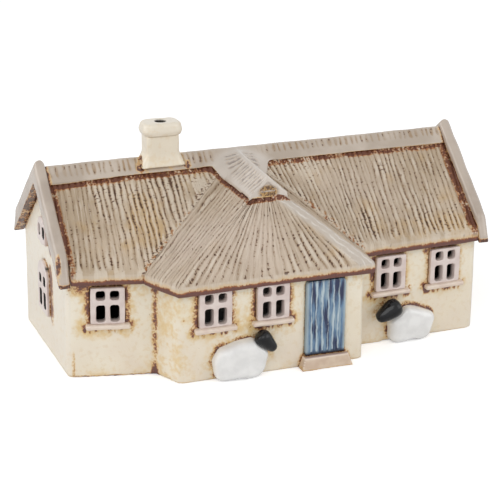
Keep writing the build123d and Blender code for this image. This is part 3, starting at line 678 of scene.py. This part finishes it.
def straw_glaze():
    material, tree, shader, where = glaze("straw glaze", 0.42, 0.18)
    shader.inputs["Specular IOR Level"].default_value = 0.35
    groove = painted(tree, "groove")
    warmth = painted(tree, "warmth")
    clouds = rise(tree, grain_of(tree, where, 0.05 * per_mm, 4.0), 0.35, 0.65)
    colour = tint(tree, clouds, hue(200, 181, 158), hue(183, 163, 138))
    patches = grain_of(tree, where, 0.11 * per_mm, 4.0)
    patches = rise(tree, calc(tree, "ADD", patches, calc(tree, "MULTIPLY", warmth, 0.4)), 0.52, 0.86)
    colour = tint(tree, calc(tree, "MULTIPLY", patches, 0.75), colour, hue(196, 162, 110))
    colour = tint(tree, calc(tree, "MULTIPLY", painted(tree, "pale"), 0.6), colour, hue(216, 200, 186))
    straws = flowing(tree, 1.9 * per_mm, 0.1 * per_mm, 4.0)
    dark_straws = calc(tree, "MULTIPLY", rise(tree, straws, 0.54, 0.72), 0.5)
    colour = tint(tree, dark_straws, colour, hue(148, 124, 96))
    pale_straws = calc(tree, "MULTIPLY", rise(tree, straws, 0.46, 0.28), 0.6)
    colour = tint(tree, pale_straws, colour, hue(226, 214, 198))
    pressed = calc(tree, "ADD", painted(tree, "press"), calc(tree, "MULTIPLY", painted(tree, "beads"), 0.22))
    # Painted highlight along the rib crests.
    crest = calc(tree, "MULTIPLY", rise(tree, groove, 0.22, 0.02), rise(tree, pressed, 0.4, 0.6))
    colour = tint(tree, calc(tree, "MULTIPLY", crest, 0.6), colour, hue(224, 212, 195))
    # Darker glaze in the troughs, deepened as painted shade.
    trough = calc(tree, "MULTIPLY", rise(tree, groove, 0.25, 0.85), rise(tree, pressed, 0.2, 0.7))
    colour = tint(tree, calc(tree, "MULTIPLY", trough, 0.75), colour, hue(140, 112, 78))
    beads = flowing(tree, 0.7 * per_mm, 1.5 * per_mm, 3.0)
    lodged = calc(tree, "ADD", groove, calc(tree, "MULTIPLY_ADD", beads, 4.2, -2.1))
    lodged = calc(tree, "ADD", lodged, calc(tree, "MULTIPLY_ADD", pressed, 1.5, -0.75))
    colour = tint(tree, calc(tree, "MULTIPLY", rise(tree, lodged, 0.6, 0.9), 0.5), colour, hue(150, 106, 60))
    colour = tint(tree, calc(tree, "MULTIPLY", rise(tree, lodged, 0.84, 1.04), 0.95), colour, hue(74, 44, 27))
    roll = painted(tree, "roll")
    rubbed = grain_of(tree, where, 0.25 * per_mm, 3.0)
    off_roll = calc(tree, "ADD", painted(tree, "off_roll"), calc(tree, "MULTIPLY_ADD", rubbed, 2.4, -1.2))
    colour = tint(tree, calc(tree, "MULTIPLY", roll, 0.8), colour, hue(200, 190, 179))
    # Painted highlight lines along the roll, broken up by a noise cloud.
    lines = calc(tree, "ABSOLUTE", calc(tree, "WRAP", calc(tree, "ADD", off_roll, 0.9), 1.1, -1.1))
    shine = calc(tree, "MULTIPLY", roll, rise(tree, lines, 0.5, 0.1))
    shine = calc(tree, "MULTIPLY", shine, rise(tree, rubbed, 0.3, 0.6))
    colour = tint(tree, calc(tree, "MULTIPLY", shine, 0.6), colour, hue(232, 226, 219))
    colour = washed(tree, colour, where, painted(tree, "wash"), hue(102, 56, 34), hue(180, 128, 72), 1.5)
    # Down the eave nose: a painted highlight on the upper lip, then ochre, rust and purple-brown wash, which
    # on the underside also stands for the shade there.
    lip = painted(tree, "dip")
    colour = tint(tree, calc(tree, "MULTIPLY", rise(tree, lip, 0.06, 0.16), 0.35), colour, hue(224, 211, 194))
    edge = calc(tree, "ADD", lip, calc(tree, "MULTIPLY_ADD", ragged(tree, where), 0.18, -0.09))
    colour = tint(tree, calc(tree, "MULTIPLY", rise(tree, edge, 0.2, 0.42), 0.5), colour, ochre)
    colour = tint(tree, rise(tree, edge, 0.4, 0.52), colour, rust)
    colour = tint(tree, rise(tree, edge, 0.48, 0.6), colour, purple_brown)
    relief = calc(tree, "MULTIPLY_ADD", lodged, -0.4, straws)
    finish_glaze(tree, shader, colour, relief, 0.22 * mm)
    return material


straw = straw_glaze()


def evenly(start, end, pitch):
    """Places from start to end, some columns to each comb tooth."""
    count = max(2, round(abs(end - start) / pitch * columns_per_pitch))
    return [start + (end - start) * step / count for step in range(count + 1)]


def beside(piece, line, width):
    """1 on a line in plan, down to 0 at that width."""
    x, y, _ = places(piece).T
    start, end = line
    heading = (end - start).normalized()
    return fading(abs((x - start.x) * heading.y - (y - start.y) * heading.x), 0, width)


def band(near):
    """A brushed band from nearness: full near the joint, thinning out over its outer half."""
    return np.minimum(1.7, 3.2 * near)


smooth_spots = [(-28, -13, 5, 4, 1.3), (24, -13, 6, 5, 0.8)]
valley_specks_top = 66 * mm


def lay_long_thatch(name, node, height, eaves, valley, leans, warm, dark, seed):
    """Combs one slope of the long roof, from the ridge down to its eave or to the valley beside the bay."""
    low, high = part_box(node)
    across = evenly(low.x, high.x, comb_pitch)
    lines = []
    for x in across:
        foot = eave_line(x, eaves)
        if valley:
            foot = max(foot, eave_line(x, sorted(valley, key=lambda end: end.x)) - tuck)
        lines.append(straw_line((x, 0), (x, foot), height))
    panel = thatch_panel(name, lines, across)
    x, y, z = places(panel).T
    lean = np.interp(x, [low.x, (low.x + high.x) / 2, high.x], leans)
    paint(panel, "across", x + lean * abs(y))
    paint(panel, "warmth", dabs(panel, *warm))
    paint(panel, "pale", dabs(panel, (45, -22, 26, 14, 0.7)))
    combed_share = np.clip(1 - dabs(panel, *smooth_spots), 0, 1)
    paint(panel, "skin", painted_on(panel, "skin") * combed_share)
    by_valley = beside(panel, valley, 3.4 * mm) if valley else np.zeros(len(x))
    paint(panel, "beads", dabs(panel, *dark) + 1.6 * by_valley)
    paint(panel, "wash", np.max([
        band(nearness(panel, ["main_ridge_cap"], 2.6 * mm)),
        band(nearness(panel, ["bay_ridge_cap"], 2.2 * mm)) * (x < bay_ridge),
        band(nearness(panel, ["left_coping_front", "left_coping_back"], 3.2 * mm)),
        band(nearness(panel, ["right_coping_front", "right_coping_back"], 4.0 * mm)),
        by_valley * specks(panel, 1.4 * mm) * np.where(z < valley_specks_top, 0.9, 0.15),
    ], axis=0))
    comb(panel, straw, Pitch=comb_pitch, Depth=comb_depth, Sharpness=1.5, Waver=1.3, Seed=seed)
    rumple(panel, *straw_lumps)
    keep(panel, straw, "thatch", node)


left_slope, hip_slope, right_slope = (
    slope_of(f"bay_thatch_{side}") for side in ("left", "hip", "right")
)
gablet_left = reach("bay_ridge_cap", (-0.2, -9, -1))
gablet_right = reach("bay_ridge_cap", (0.2, -9, -1))
bay_ridge = (gablet_left.x + gablet_right.x) / 2
fan_half = (gablet_right.x - gablet_left.x) / 2 - 0.5 * mm
fan_back = -7 * mm
left_foot = reach("bay_thatch_left", (-1, 0.2, -2)).xy - Vector((valley_spread, 0))
right_foot = reach("bay_thatch_right", (1, 1, -2)).xy
left_valley = (Vector((bay_ridge - fan_half, fan_back)), left_foot)
right_valley = (Vector((bay_ridge + fan_half, fan_back)), right_foot)
lay_long_thatch(
    "thatch_front_left", "main_thatch_front_left", front_height, front_eaves, left_valley,
    leans=(0.14, 0.05, -0.06),
    warm=[(-56, -24, 9, 12, 1.0), (-30, -6, 8, 5, 0.6)],
    dark=[(-62, -12, 16, 10, 0.8), (-35, -8, 12, 6, 1.0), (-86, -22, 10, 20, -0.5)],
    seed=1.0,
)
lay_long_thatch(
    "thatch_front_right", "main_thatch_front_right", front_height, front_eaves, right_valley,
    leans=(-0.36, 0.05, 0.03),
    warm=[(80, -40, 20, 6, 0.9), (45, -32, 6, 10, 0.6)],
    dark=[
        (20, -8, 14, 4, 1.0), (44, -36, 5, 9, 1.2), (72, -38, 9, 6, 1.0),
        (60, -14, 5, 4, 1.2), (50, -20, 40, 25, -0.4),
    ],
    seed=2.0,
)
lay_long_thatch(
    "thatch_back", "main_thatch_back", back_height, back_eaves, None,
    leans=(0.1, 0.0, -0.1),
    warm=[(-50, 30, 20, 10, 0.9), (60, 25, 18, 12, 0.8)],
    dark=[(-20, 12, 30, 8, 0.8), (70, 30, 16, 8, 0.8)],
    seed=3.0,
)

# Thatch of the bay
# One clay fan over the bay: combed lines spread from the foot of its ridge cap to the eaves on three sides.
# The same taupe glaze, paler and rosier down its middle, and a smooth pale roll down its right edge with
# painted highlight lines on it.
fan_pitch = 2.2 * mm
fan_depth = 0.7 * mm
fan_lumps = (0.2 * mm, 8 * mm)
soft_hip = 1.1 * mm
roll_height = 0.8 * mm
roll_width = 2.6 * mm
roll_shift = 1.8 * mm
skin_thickness = 0.35 * mm
eave_sags = (0, 2.2 * mm, 2.2 * mm, 1.0 * mm)


def fan_height(x, y):
    """The bay's slopes: the left one runs softly into the hip, and a smooth roll lies on the right edge."""
    left, hip, right = (slope(x, y) for slope in (left_slope, hip_slope, right_slope))
    least = min(left, hip)
    soft = least - soft_hip * math.log1p(math.exp(-abs(left - hip) / soft_hip))
    rolled = min(soft, right) + roll_height * math.exp(-((soft - right + roll_shift) / roll_width) ** 2)
    return max(rolled, front_height(x, y) + skin_thickness)


fan_front = gablet_left.y + 1.2 * mm
fan_top = [
    left_valley[0],
    Vector((bay_ridge - fan_half, fan_front)),
    Vector((bay_ridge + fan_half, fan_front)),
    right_valley[0],
]
front_left = reach("bay_thatch_hip", (-1, -1, -2)).xy
front_right = reach("bay_thatch_hip", (1, -1, -2)).xy
fan_foot = [left_foot, front_left, front_right, right_foot]
fan_lines, fan_across, spread = [], [], 0
for part in range(3):
    middles = [(fan_top[end] + fan_foot[end]) / 2 for end in (part, part + 1)]
    width = (middles[1] - middles[0]).length
    for run in evenly(0, width, fan_pitch)[bool(part):]:
        share = run / width
        line_top = fan_top[part].lerp(fan_top[part + 1], share)
        line_foot = fan_foot[part].lerp(fan_foot[part + 1], share)
        foot = eave_top - eave_sags[part] - (eave_sags[part + 1] - eave_sags[part]) * share
        fan_lines.append(straw_line(line_top, line_foot, fan_height, 0.3 * mm, foot))
        fan_across.append(spread + run)
    spread += width
fan = thatch_panel("thatch_bay", fan_lines, fan_across)
gaps = []
for line, after in zip(fan_lines, fan_lines[1:] + fan_lines[-2:-1]):
    between = [(point - other).length for point, other in zip(line[0], after[0])]
    gaps += [gap * columns_per_pitch / fan_pitch for gap in between]
paint(fan, "spacing", gaps)
off_roll = np.array([min(left_slope(x, y), hip_slope(x, y)) - right_slope(x, y) for x, y, _ in places(fan)])
roll_half = np.interp(places(fan)[:, 2], [eave_top, gablet_left.z], [3.0 * mm, 1.4 * mm])
on_roll = fading(abs(off_roll + roll_shift), roll_half, roll_half + 1.4 * mm) * (1 - painted_on(fan, "hollow_shade"))
paint(fan, "skin", painted_on(fan, "skin") * (1 - on_roll))
paint(fan, "roll", on_roll)
paint(fan, "off_roll", off_roll * per_mm)
paint(fan, "warmth", dabs(fan, (24, -50, 14, 8, 1.0), (-40, -52, 10, 6, 0.5)) - 0.3)
paint(fan, "pale", dabs(fan, (-40, -42, 18, 14, 1.0), (-14, -50, 14, 10, 0.6)) + 0.25)
paint(fan, "beads", dabs(fan, (24, -50, 12, 6, 0.7), (-30, -48, 20, 9, -0.3)) - 0.35)
right_of_gablet = fading(places(fan)[:, 0] - gablet_right.x, 0, 1.5 * mm)
paint(fan, "wash", band(nearness(fan, ["bay_ridge_cap"], 2.0 * mm)) * right_of_gablet)
comb(fan, straw, Pitch=fan_pitch, Depth=fan_depth, Sharpness=1.4, Waver=1.5, Seed=4.0)
rumple(fan, *fan_lumps)
keep(fan, straw, "thatch", *nodes_with("bay_thatch"))

# Ridge caps and gable copings
# Strips of clay over the ridges, nicked with short strokes of the comb, and rolls of clay up the gable edges.
# Grey-taupe glaze, smooth on the lower lips, with a dark brown line where they end on the thatch; paler glaze
# with a painted highlight along the bay ridge, and painted shade under the copings.
cap_grain = 0.42 * mm
cap_pitch = 2.7 * mm
cap_depth = 0.5 * mm
cap_lumps = (0.18 * mm, 9 * mm)
cap_joint = 5 * mm
coping_grain = 0.5 * mm
coping_lumps = (0.25 * mm, 9 * mm)


def ridge_glaze(name, pale, deep):
    material, tree, shader, where = glaze(name, 0.24, 0.45)
    groove = painted(tree, "groove")
    clouds = rise(tree, grain_of(tree, where, 0.07 * per_mm, 4.0), 0.35, 0.65)
    colour = tint(tree, clouds, pale, deep)
    patches = rise(tree, grain_of(tree, where, 0.12 * per_mm, 3.0), 0.42, 0.66)
    patches = calc(tree, "MULTIPLY_ADD", patches, 0.5, 0.3)
    tinted = calc(tree, "MULTIPLY", rise(tree, groove, 0.1, 0.7), patches)
    colour = tint(tree, tinted, colour, hue(156, 124, 84))
    beads = grain_of(tree, where, 0.6 * per_mm, 3.0)
    lodged = calc(tree, "ADD", groove, calc(tree, "MULTIPLY_ADD", beads, 2.6, -1.3))
    colour = tint(tree, calc(tree, "MULTIPLY", rise(tree, lodged, 0.86, 1.06), 0.85), colour, hue(88, 58, 40))
    hatch = grain_of(tree, where, 1.3 * per_mm, 2.0)
    recess = tint(tree, rise(tree, hatch, 0.4, 0.6), hue(96, 66, 38), hue(186, 146, 88))
    colour = tint(tree, painted(tree, "recess"), colour, recess)
    # Paler glaze over the bay cap, with a painted highlight along its ridge.
    colour = tint(tree, calc(tree, "MULTIPLY", painted(tree, "crest"), 0.75), colour, hue(236, 230, 224))
    colour = washed(tree, colour, where, painted(tree, "wash"), hue(88, 54, 42))
    finish_glaze(tree, shader, colour, clouds, 0.1 * mm)
    return material


cap_glaze = ridge_glaze("cap glaze", hue(200, 186, 171), hue(182, 167, 151))
caps = soft_clay("ridge_caps", cap_nodes, cap_grain, 2)

# The two caps were pressed into one another while soft, so their joint is rubbed away
rubbed = np.minimum(
    nearness(caps, ["main_ridge_cap"], cap_joint), nearness(caps, ["bay_ridge_cap"], cap_joint)
)
thumbed = caps.vertex_groups.new(name="thumbed")
for index in np.flatnonzero(rubbed > 0):
    thumbed.add([int(index)], float(min(1, 2 * rubbed[index])), "REPLACE")
thumb = caps.modifiers.new("thumb", "SMOOTH")
thumb.factor = 0.5
thumb.iterations = 30
thumb.vertex_group = "thumbed"
settle(caps)
caps.vertex_groups.clear()
cap_x, cap_y, cap_z = places(caps).T
cap_facing = facings(caps)
off_ridge = abs(cap_x - bay_ridge)
on_bay = nearness(caps, ["bay_ridge_cap"], 0.8 * mm) > 0.05
facing_up = cap_facing[:, 2] > 0.2
paint(caps, "across", np.where(on_bay, cap_y - 0.25 * off_ridge, cap_x))
paint(caps, "along", np.where(on_bay, off_ridge, cap_y))
bay_strokes = (cap_facing[:, 1] > -0.6) * (1 - fading(off_ridge, 0.8 * mm, 2.4 * mm))
bay_strokes = bay_strokes * fading(off_ridge, 6.4 * mm, 8.2 * mm)
bay_strokes *= cap_y < -4 * mm
stroke_end = np.where(cap_x < bay_ridge, 5.6 * mm, 4.4 * mm)
main_strokes = np.clip((stroke_end - abs(cap_y)) / (1.2 * mm), 0, 1)
main_strokes = main_strokes * (1 - fading(abs(cap_y), 0.3 * mm, 1.2 * mm))
main_strokes *= np.clip(off_ridge / (7 * mm) - 1, 0, 1)
paint(caps, "skin", facing_up * np.where(on_bay, 1.7 * bay_strokes, main_strokes))
gablet_face = (cap_facing[:, 1] < -0.6) * (cap_y < fan_front + 2 * mm)
inset = fading(np.hypot((cap_x - bay_ridge) / 1.6, cap_z - gablet_left.z - 3.0 * mm), 2.2 * mm, 3.4 * mm)
paint(caps, "recess", gablet_face * inset)
# A painted highlight along the bay ridge, over paler glaze on the rest of the bay cap.
crest = 0.6 * fading(off_ridge, 0.3 * mm, 1.1 * mm) * facing_up * (cap_facing[:, 1] > -0.5)
near_bay_cap = nearness(caps, ["bay_ridge_cap"], 3 * mm)
paint(caps, "crest", near_bay_cap * np.maximum(crest, 0.45) * (1 - gablet_face * inset))
left_of_ridge = fading(cap_x - bay_ridge, 2 * mm, 4 * mm)
paint(caps, "wash", np.max([
    nearness(caps, nodes_with("main_thatch"), 0.6 * mm) * 0.9 * np.where(on_bay, left_of_ridge, 1),
    nearness(caps, nodes_with("bay_thatch"), 0.5 * mm) * 0.8 * left_of_ridge,
    nearness(caps, coping_nodes, 2.0 * mm) * 0.9,
    nearness(caps, ["chimney_stack"], 4.2 * mm, (2.2, 2.0, 0.3, 0.4)) * (0.4 + 0.6 * specks(caps, 3 * mm)),
], axis=0))
comb(caps, cap_glaze, Pitch=cap_pitch, Depth=cap_depth, Sharpness=0.9, Waver=1.6, Seed=5.0)
rumple(caps, *cap_lumps)
keep(caps, cap_glaze, "ridge", *cap_nodes)

coping_glaze = ridge_glaze("coping glaze", hue(194, 180, 166), hue(178, 163, 149))
for side in ("left", "right"):
    halves = nodes_with(f"{side}_coping")
    coping = soft_clay(f"{side}_coping", halves, coping_grain, 6)
    rumple(coping, *coping_lumps)
    coping_facing = facings(coping)
    coping_x, coping_y, coping_z = places(coping).T
    coping_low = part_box(f"{side}_coping_front")[0]
    end_face = fading(coping_z - coping_low.z, 1.4 * mm, 2.4 * mm) * (coping_facing[:, 2] < 0.45)
    stained = np.zeros(len(coping_x))
    if side == "left":
        outer = coping_facing[:, 0] < -0.3
        stained = outer * np.exp(-((coping_y - coping_low.y - 3.6 * mm) / (1.9 * mm)) ** 2) * 0.85
    paint(coping, "groove", np.zeros(len(coping_x)))
    paint(coping, "wash", np.max([
        nearness(coping, thatch_nodes, 1.0 * mm),
        nearness(coping, wall_nodes, 1.4 * mm) * 0.9,
        end_face,
        stained,
        # Downward faces take the dark wash colours as painted shade.
        (coping_facing[:, 2] < -0.4) * 0.9,
    ], axis=0))
    keep(coping, coping_glaze, "ridge", *halves)

# Chimney
# A hollow clay stack straddling the ridge on a flared foot, with a pillow-shaped cap round its flue.
# Cream glaze like the walls, with wash caught where the foot meets the ridge cap, which also stands for the
# shadow under the flared foot, and painted shade down the flue.
flue_low, flue_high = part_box("chimney_cap")
flue_x = (flue_low.x + flue_high.x) / 2
flue_clear = 4.5 * mm
foot_flare = 1.5 * mm
foot_height = 4.5 * mm
stack_grain = 0.5 * mm
stack_lumps = (0.25 * mm, 8 * mm)
pillow_grain = 0.45 * mm
pillow_lumps = (0.2 * mm, 7 * mm)


def flue_shade(piece):
    """Share of painted shade: 1 on what faces the flue, down to 0 just outside its rim."""
    x, y, _ = places(piece).T
    return fading(np.hypot(x - flue_x, y), 2.3 * mm, 2.8 * mm)


stack = soft_clay("stack", ["chimney_stack"], stack_grain, 4)
rumple(stack, *stack_lumps)
spread_out = foot_flare * nearness(stack, cap_nodes + thatch_nodes, foot_height) ** 2
for vertex, normal, flare in zip(stack.data.vertices, facings(stack), spread_out):
    if math.hypot(vertex.co.x - flue_x, vertex.co.y) > flue_clear:
        vertex.co += Vector((normal[0], normal[1], 0)) * float(flare)
# Wash round the foot, which also stands for the shadow line under its flare.
paint(stack, "wash", nearness(stack, cap_nodes + thatch_nodes, 1.0 * mm))
paint(stack, "stain", nearness(stack, cap_nodes + thatch_nodes, 5 * mm) * 0.4)
paint(stack, "white", 0.3 * np.ones(len(stack.data.vertices)))
# Painted shade down the flue.
paint(stack, "hollow_shade", flue_shade(stack))
keep(stack, wall_glaze, "ivory_wall", "chimney_stack")
pillow = soft_clay("stack_cap", ["chimney_cap"], pillow_grain, 4)
rumple(pillow, *pillow_lumps)
paint(pillow, "wash", np.zeros(len(pillow.data.vertices)))
paint(pillow, "stain", np.zeros(len(pillow.data.vertices)))
paint(pillow, "white", 0.5 * np.ones(len(pillow.data.vertices)))
# Painted shade down the flue through the cap.
paint(pillow, "hollow_shade", flue_shade(pillow))
keep(pillow, wall_glaze, "ivory_wall", "chimney_cap")

# Door and step
# A slab of clay stuck to the bay wall and dragged with the comb into rough boards, over a rolled step.
# Cobalt glaze that breaks pale on the ridges and pools dark in the grooves; the step is rose-mauve, with a
# painted highlight along its rounded front edge.
door_grain = 0.3 * mm
board_pitch = 2.5 * mm
board_ridge = 0.5 * mm
step_grain = 0.36 * mm
step_lumps = (0.25 * mm, 6 * mm)


def cobalt_glaze():
    material, tree, shader, where = glaze("cobalt glaze", 0.2, 0.5)
    bead = painted(tree, "groove")
    flow = {0: calc(tree, "MULTIPLY", painted(tree, "across"), 0.5 * per_mm),
            1: calc(tree, "MULTIPLY", painted(tree, "along"), 0.07 * per_mm)}
    runs = grain_of(tree, add(tree, "ShaderNodeCombineXYZ", flow)[0], 1.0, 4.0)
    colour = tint(tree, rise(tree, runs, 0.38, 0.56), hue(24, 38, 78), hue(98, 131, 163))
    colour = tint(tree, calc(tree, "MULTIPLY", rise(tree, runs, 0.54, 0.64), 0.8), colour, hue(146, 168, 182))
    broken = calc(tree, "ADD", bead, calc(tree, "MULTIPLY_ADD", runs, 1.4, -0.7))
    streaks = calc(tree, "MULTIPLY", rise(tree, broken, 0.3, 0.85), 0.85)
    colour = tint(tree, streaks, colour, hue(198, 213, 218))
    colour = tint(tree, calc(tree, "MULTIPLY", painted(tree, "rim"), 0.7), colour, hue(182, 200, 206))
    colour = tint(tree, painted(tree, "wash"), colour, hue(38, 46, 60))
    finish_glaze(tree, shader, colour, runs, 0.15 * mm)
    return material


door_blue = cobalt_glaze()
door = soft_clay("door_boards", ["front_door"], door_grain, 2)
door_x, _, door_z = places(door).T
door_low, door_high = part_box("front_door")
paint(door, "across", door_x)
paint(door, "along", door_z)
side_gap = np.minimum(door_x - door_low.x, door_high.x - door_x)
foot_gap = door_z - door_low.z
off_edge = 1 - fading(np.minimum(side_gap, foot_gap), 1.2 * mm, 2.2 * mm)
paint(door, "skin", (facings(door)[:, 1] < -0.5) * off_edge)
paint(door, "rim", fading(side_gap, 0.6 * mm, 1.5 * mm))
door_head = fading(door_high.z - door_z, 0, 1.2 * mm) * 0.7
paint(door, "wash", np.maximum(fading(foot_gap, 0.8 * mm, 2.0 * mm), door_head))
comb(door, door_blue, Pitch=board_pitch, Depth=-board_ridge, Sharpness=1.0, Waver=0.9, Seed=7.0)
keep(door, door_blue, "blue_door", "front_door")


def step_mauve():
    material, tree, shader, where = glaze("step glaze", 0.26, 0.4)
    clouds = grain_of(tree, where, 0.25 * per_mm, 4.0)
    colour = tint(tree, rise(tree, clouds, 0.35, 0.65), hue(218, 196, 172), hue(206, 180, 156))
    colour = tint(tree, painted(tree, "tread"), colour, hue(176, 148, 138))
    # A painted highlight along the rounded lip.
    colour = tint(tree, painted(tree, "lip"), colour, hue(236, 220, 204))
    colour = washed(tree, colour, where, painted(tree, "wash"))
    finish_glaze(tree, shader, colour, clouds, 0.1 * mm)
    return material


step = soft_clay("step", ["doorstep"], step_grain, 4)
rumple(step, *step_lumps)
tilt_up = facings(step)[:, 2]
step_low, step_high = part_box("doorstep")
step_x, _, step_z = places(step).T
step_edge = np.minimum(np.minimum(step_x - step_low.x, step_high.x - step_x), step_z)
paint(step, "tread", fading(abs(tilt_up - 0.95), 0.1, 0.35) * 0.9)
# The rounded front edge is marked for a painted highlight.
paint(step, "lip", fading(abs(tilt_up - 0.6), 0.1, 0.3) * 0.8)
by_wall = nearness(step, wall_nodes + ["front_door"], 1.2 * mm)
paint(step, "wash", np.maximum(by_wall, fading(step_edge, 0, 1.0 * mm) * 0.6))
keep(step, step_mauve(), "step", "doorstep")

# Sheep
# Two sheep pressed on the front walls: a lumpy fleece each, and a smooth pear-shaped head set into it.
# Thick white gloss glaze on the fleeces, black on the heads.
wool_grain = 0.5 * mm
wool_lumps = (0.5 * mm, 6 * mm)
head_grain = 0.3 * mm
head_lumps = (0.2 * mm, 4 * mm)


def gloss_glaze(name, pale, deep, roughness, coat):
    material, tree, shader, where = glaze(name, roughness, coat)
    clouds = grain_of(tree, where, 0.16 * per_mm, 4.0)
    colour = tint(tree, rise(tree, clouds, 0.35, 0.65), pale, deep)
    colour = washed(tree, colour, where, painted(tree, "wash"))
    finish_glaze(tree, shader, colour, clouds, 0.1 * mm)
    return material


white_gloss = gloss_glaze("white gloss", hue(243, 242, 240), hue(232, 231, 229), 0.18, 0.5)
black_gloss = gloss_glaze("black gloss", hue(12, 12, 14), hue(22, 23, 26), 0.16, 0.15)
black_gloss.node_tree.nodes["Principled BSDF"].inputs["IOR"].default_value = 1.35
for node in fleece_nodes:
    fleece = soft_clay(node + "_wool", [node], wool_grain, 4)
    rumple(fleece, *wool_lumps)
    paint(fleece, "wash", nearness(fleece, wall_nodes, 0.4 * mm) * 0.35)
    keep(fleece, white_gloss, "fleece", node)
for node in head_nodes:
    head = soft_clay(node + "_face", [node], head_grain, 2)
    rumple(head, *head_lumps)
    paint(head, "wash", np.zeros(len(head.data.vertices)))
    keep(head, black_gloss, "sheep_face", node)

# Table, light and camera
# A plain pale table under soft studio light, seen through a long lens from the front left.
table_size = 6.0
table_drop = 0.05 * mm
table_mesh = bmesh.new()
bmesh.ops.create_grid(table_mesh, x_segments=1, y_segments=1, size=table_size)
table_sheet = bpy.data.meshes.new("table")
table_mesh.to_mesh(table_sheet)
table_mesh.free()
table = new_piece("table", table_sheet)
table.location.z = -table_drop
table_paint = bpy.data.materials.new("table paint")
table_paint.use_nodes = True
table_tree = table_paint.node_tree
table_shader = table_tree.nodes["Principled BSDF"]
table_shader.inputs["Base Color"].default_value = (0.9, 0.9, 0.9, 1)
table_shader.inputs["Roughness"].default_value = 0.9
table_shader.inputs["Emission Color"].default_value = (1, 1, 1, 1)
seen = add(table_tree, "ShaderNodeLightPath", {})["Is Camera Ray"]
table_tree.links.new(calc(table_tree, "MULTIPLY", seen, 0.42), table_shader.inputs["Emission Strength"])
table_sheet.materials.append(table_paint)

room = bpy.data.worlds.new("studio")
room.use_nodes = True
bpy.context.scene.world = room
room_tree = room.node_tree
backdrop = room_tree.nodes["Background"]
backdrop.inputs["Color"].default_value = (1, 1, 1, 1)
rays = add(room_tree, "ShaderNodeLightPath", {})
shown = calc(room_tree, "MAXIMUM", rays["Is Camera Ray"], rays["Is Glossy Ray"])
shown = calc(room_tree, "MAXIMUM", shown, rays["Is Transmission Ray"])
ambient = 0.55
strength = calc(room_tree, "MULTIPLY_ADD", shown, 1 - ambient, ambient)
room_tree.links.new(strength, backdrop.inputs["Strength"])


def softbox(name, place, size, watts):
    """A square lamp at that place, turned to the house."""
    lamp = bpy.data.lights.new(name, "AREA")
    lamp.size = size
    lamp.energy = watts
    stand = bpy.data.objects.new(name, lamp)
    bpy.context.scene.collection.objects.link(stand)
    stand.location = place
    stand.rotation_euler = (-Vector(place)).to_track_quat("-Z", "Y").to_euler()


softbox("key", (-0.6, -0.9, 0.8), 0.8, 3.6)
softbox("side", (-1.1, 0.25, 0.5), 0.7, 3.5)
softbox("fill", (0.9, -0.8, 0.6), 0.9, 3.4)

camera_turn = math.radians(-20.996)
camera_lift = math.radians(20.662)
camera_roll = math.radians(0.768)
camera_distance = 881.4 * mm
camera_target = Vector((1.129, 0, 34.42)) * mm
back = Vector((
    math.sin(camera_turn) * math.cos(camera_lift),
    -math.cos(camera_turn) * math.cos(camera_lift),
    math.sin(camera_lift),
))
level = Vector((0, 0, 1)).cross(back).normalized()
upright = back.cross(level)
right = level * math.cos(camera_roll) + upright * math.sin(camera_roll)
upright = upright * math.cos(camera_roll) - level * math.sin(camera_roll)
lens = bpy.data.cameras.new("camera")
lens.lens = 139.46
lens.sensor_width = 36
camera = bpy.data.objects.new("camera", lens)
bpy.context.scene.collection.objects.link(camera)
turned = Matrix((right, upright, back)).transposed().to_4x4()
camera.matrix_world = Matrix.Translation(camera_target + back * camera_distance) @ turned
bpy.context.scene.camera = camera
bpy.context.scene.view_settings.view_transform = "Standard"
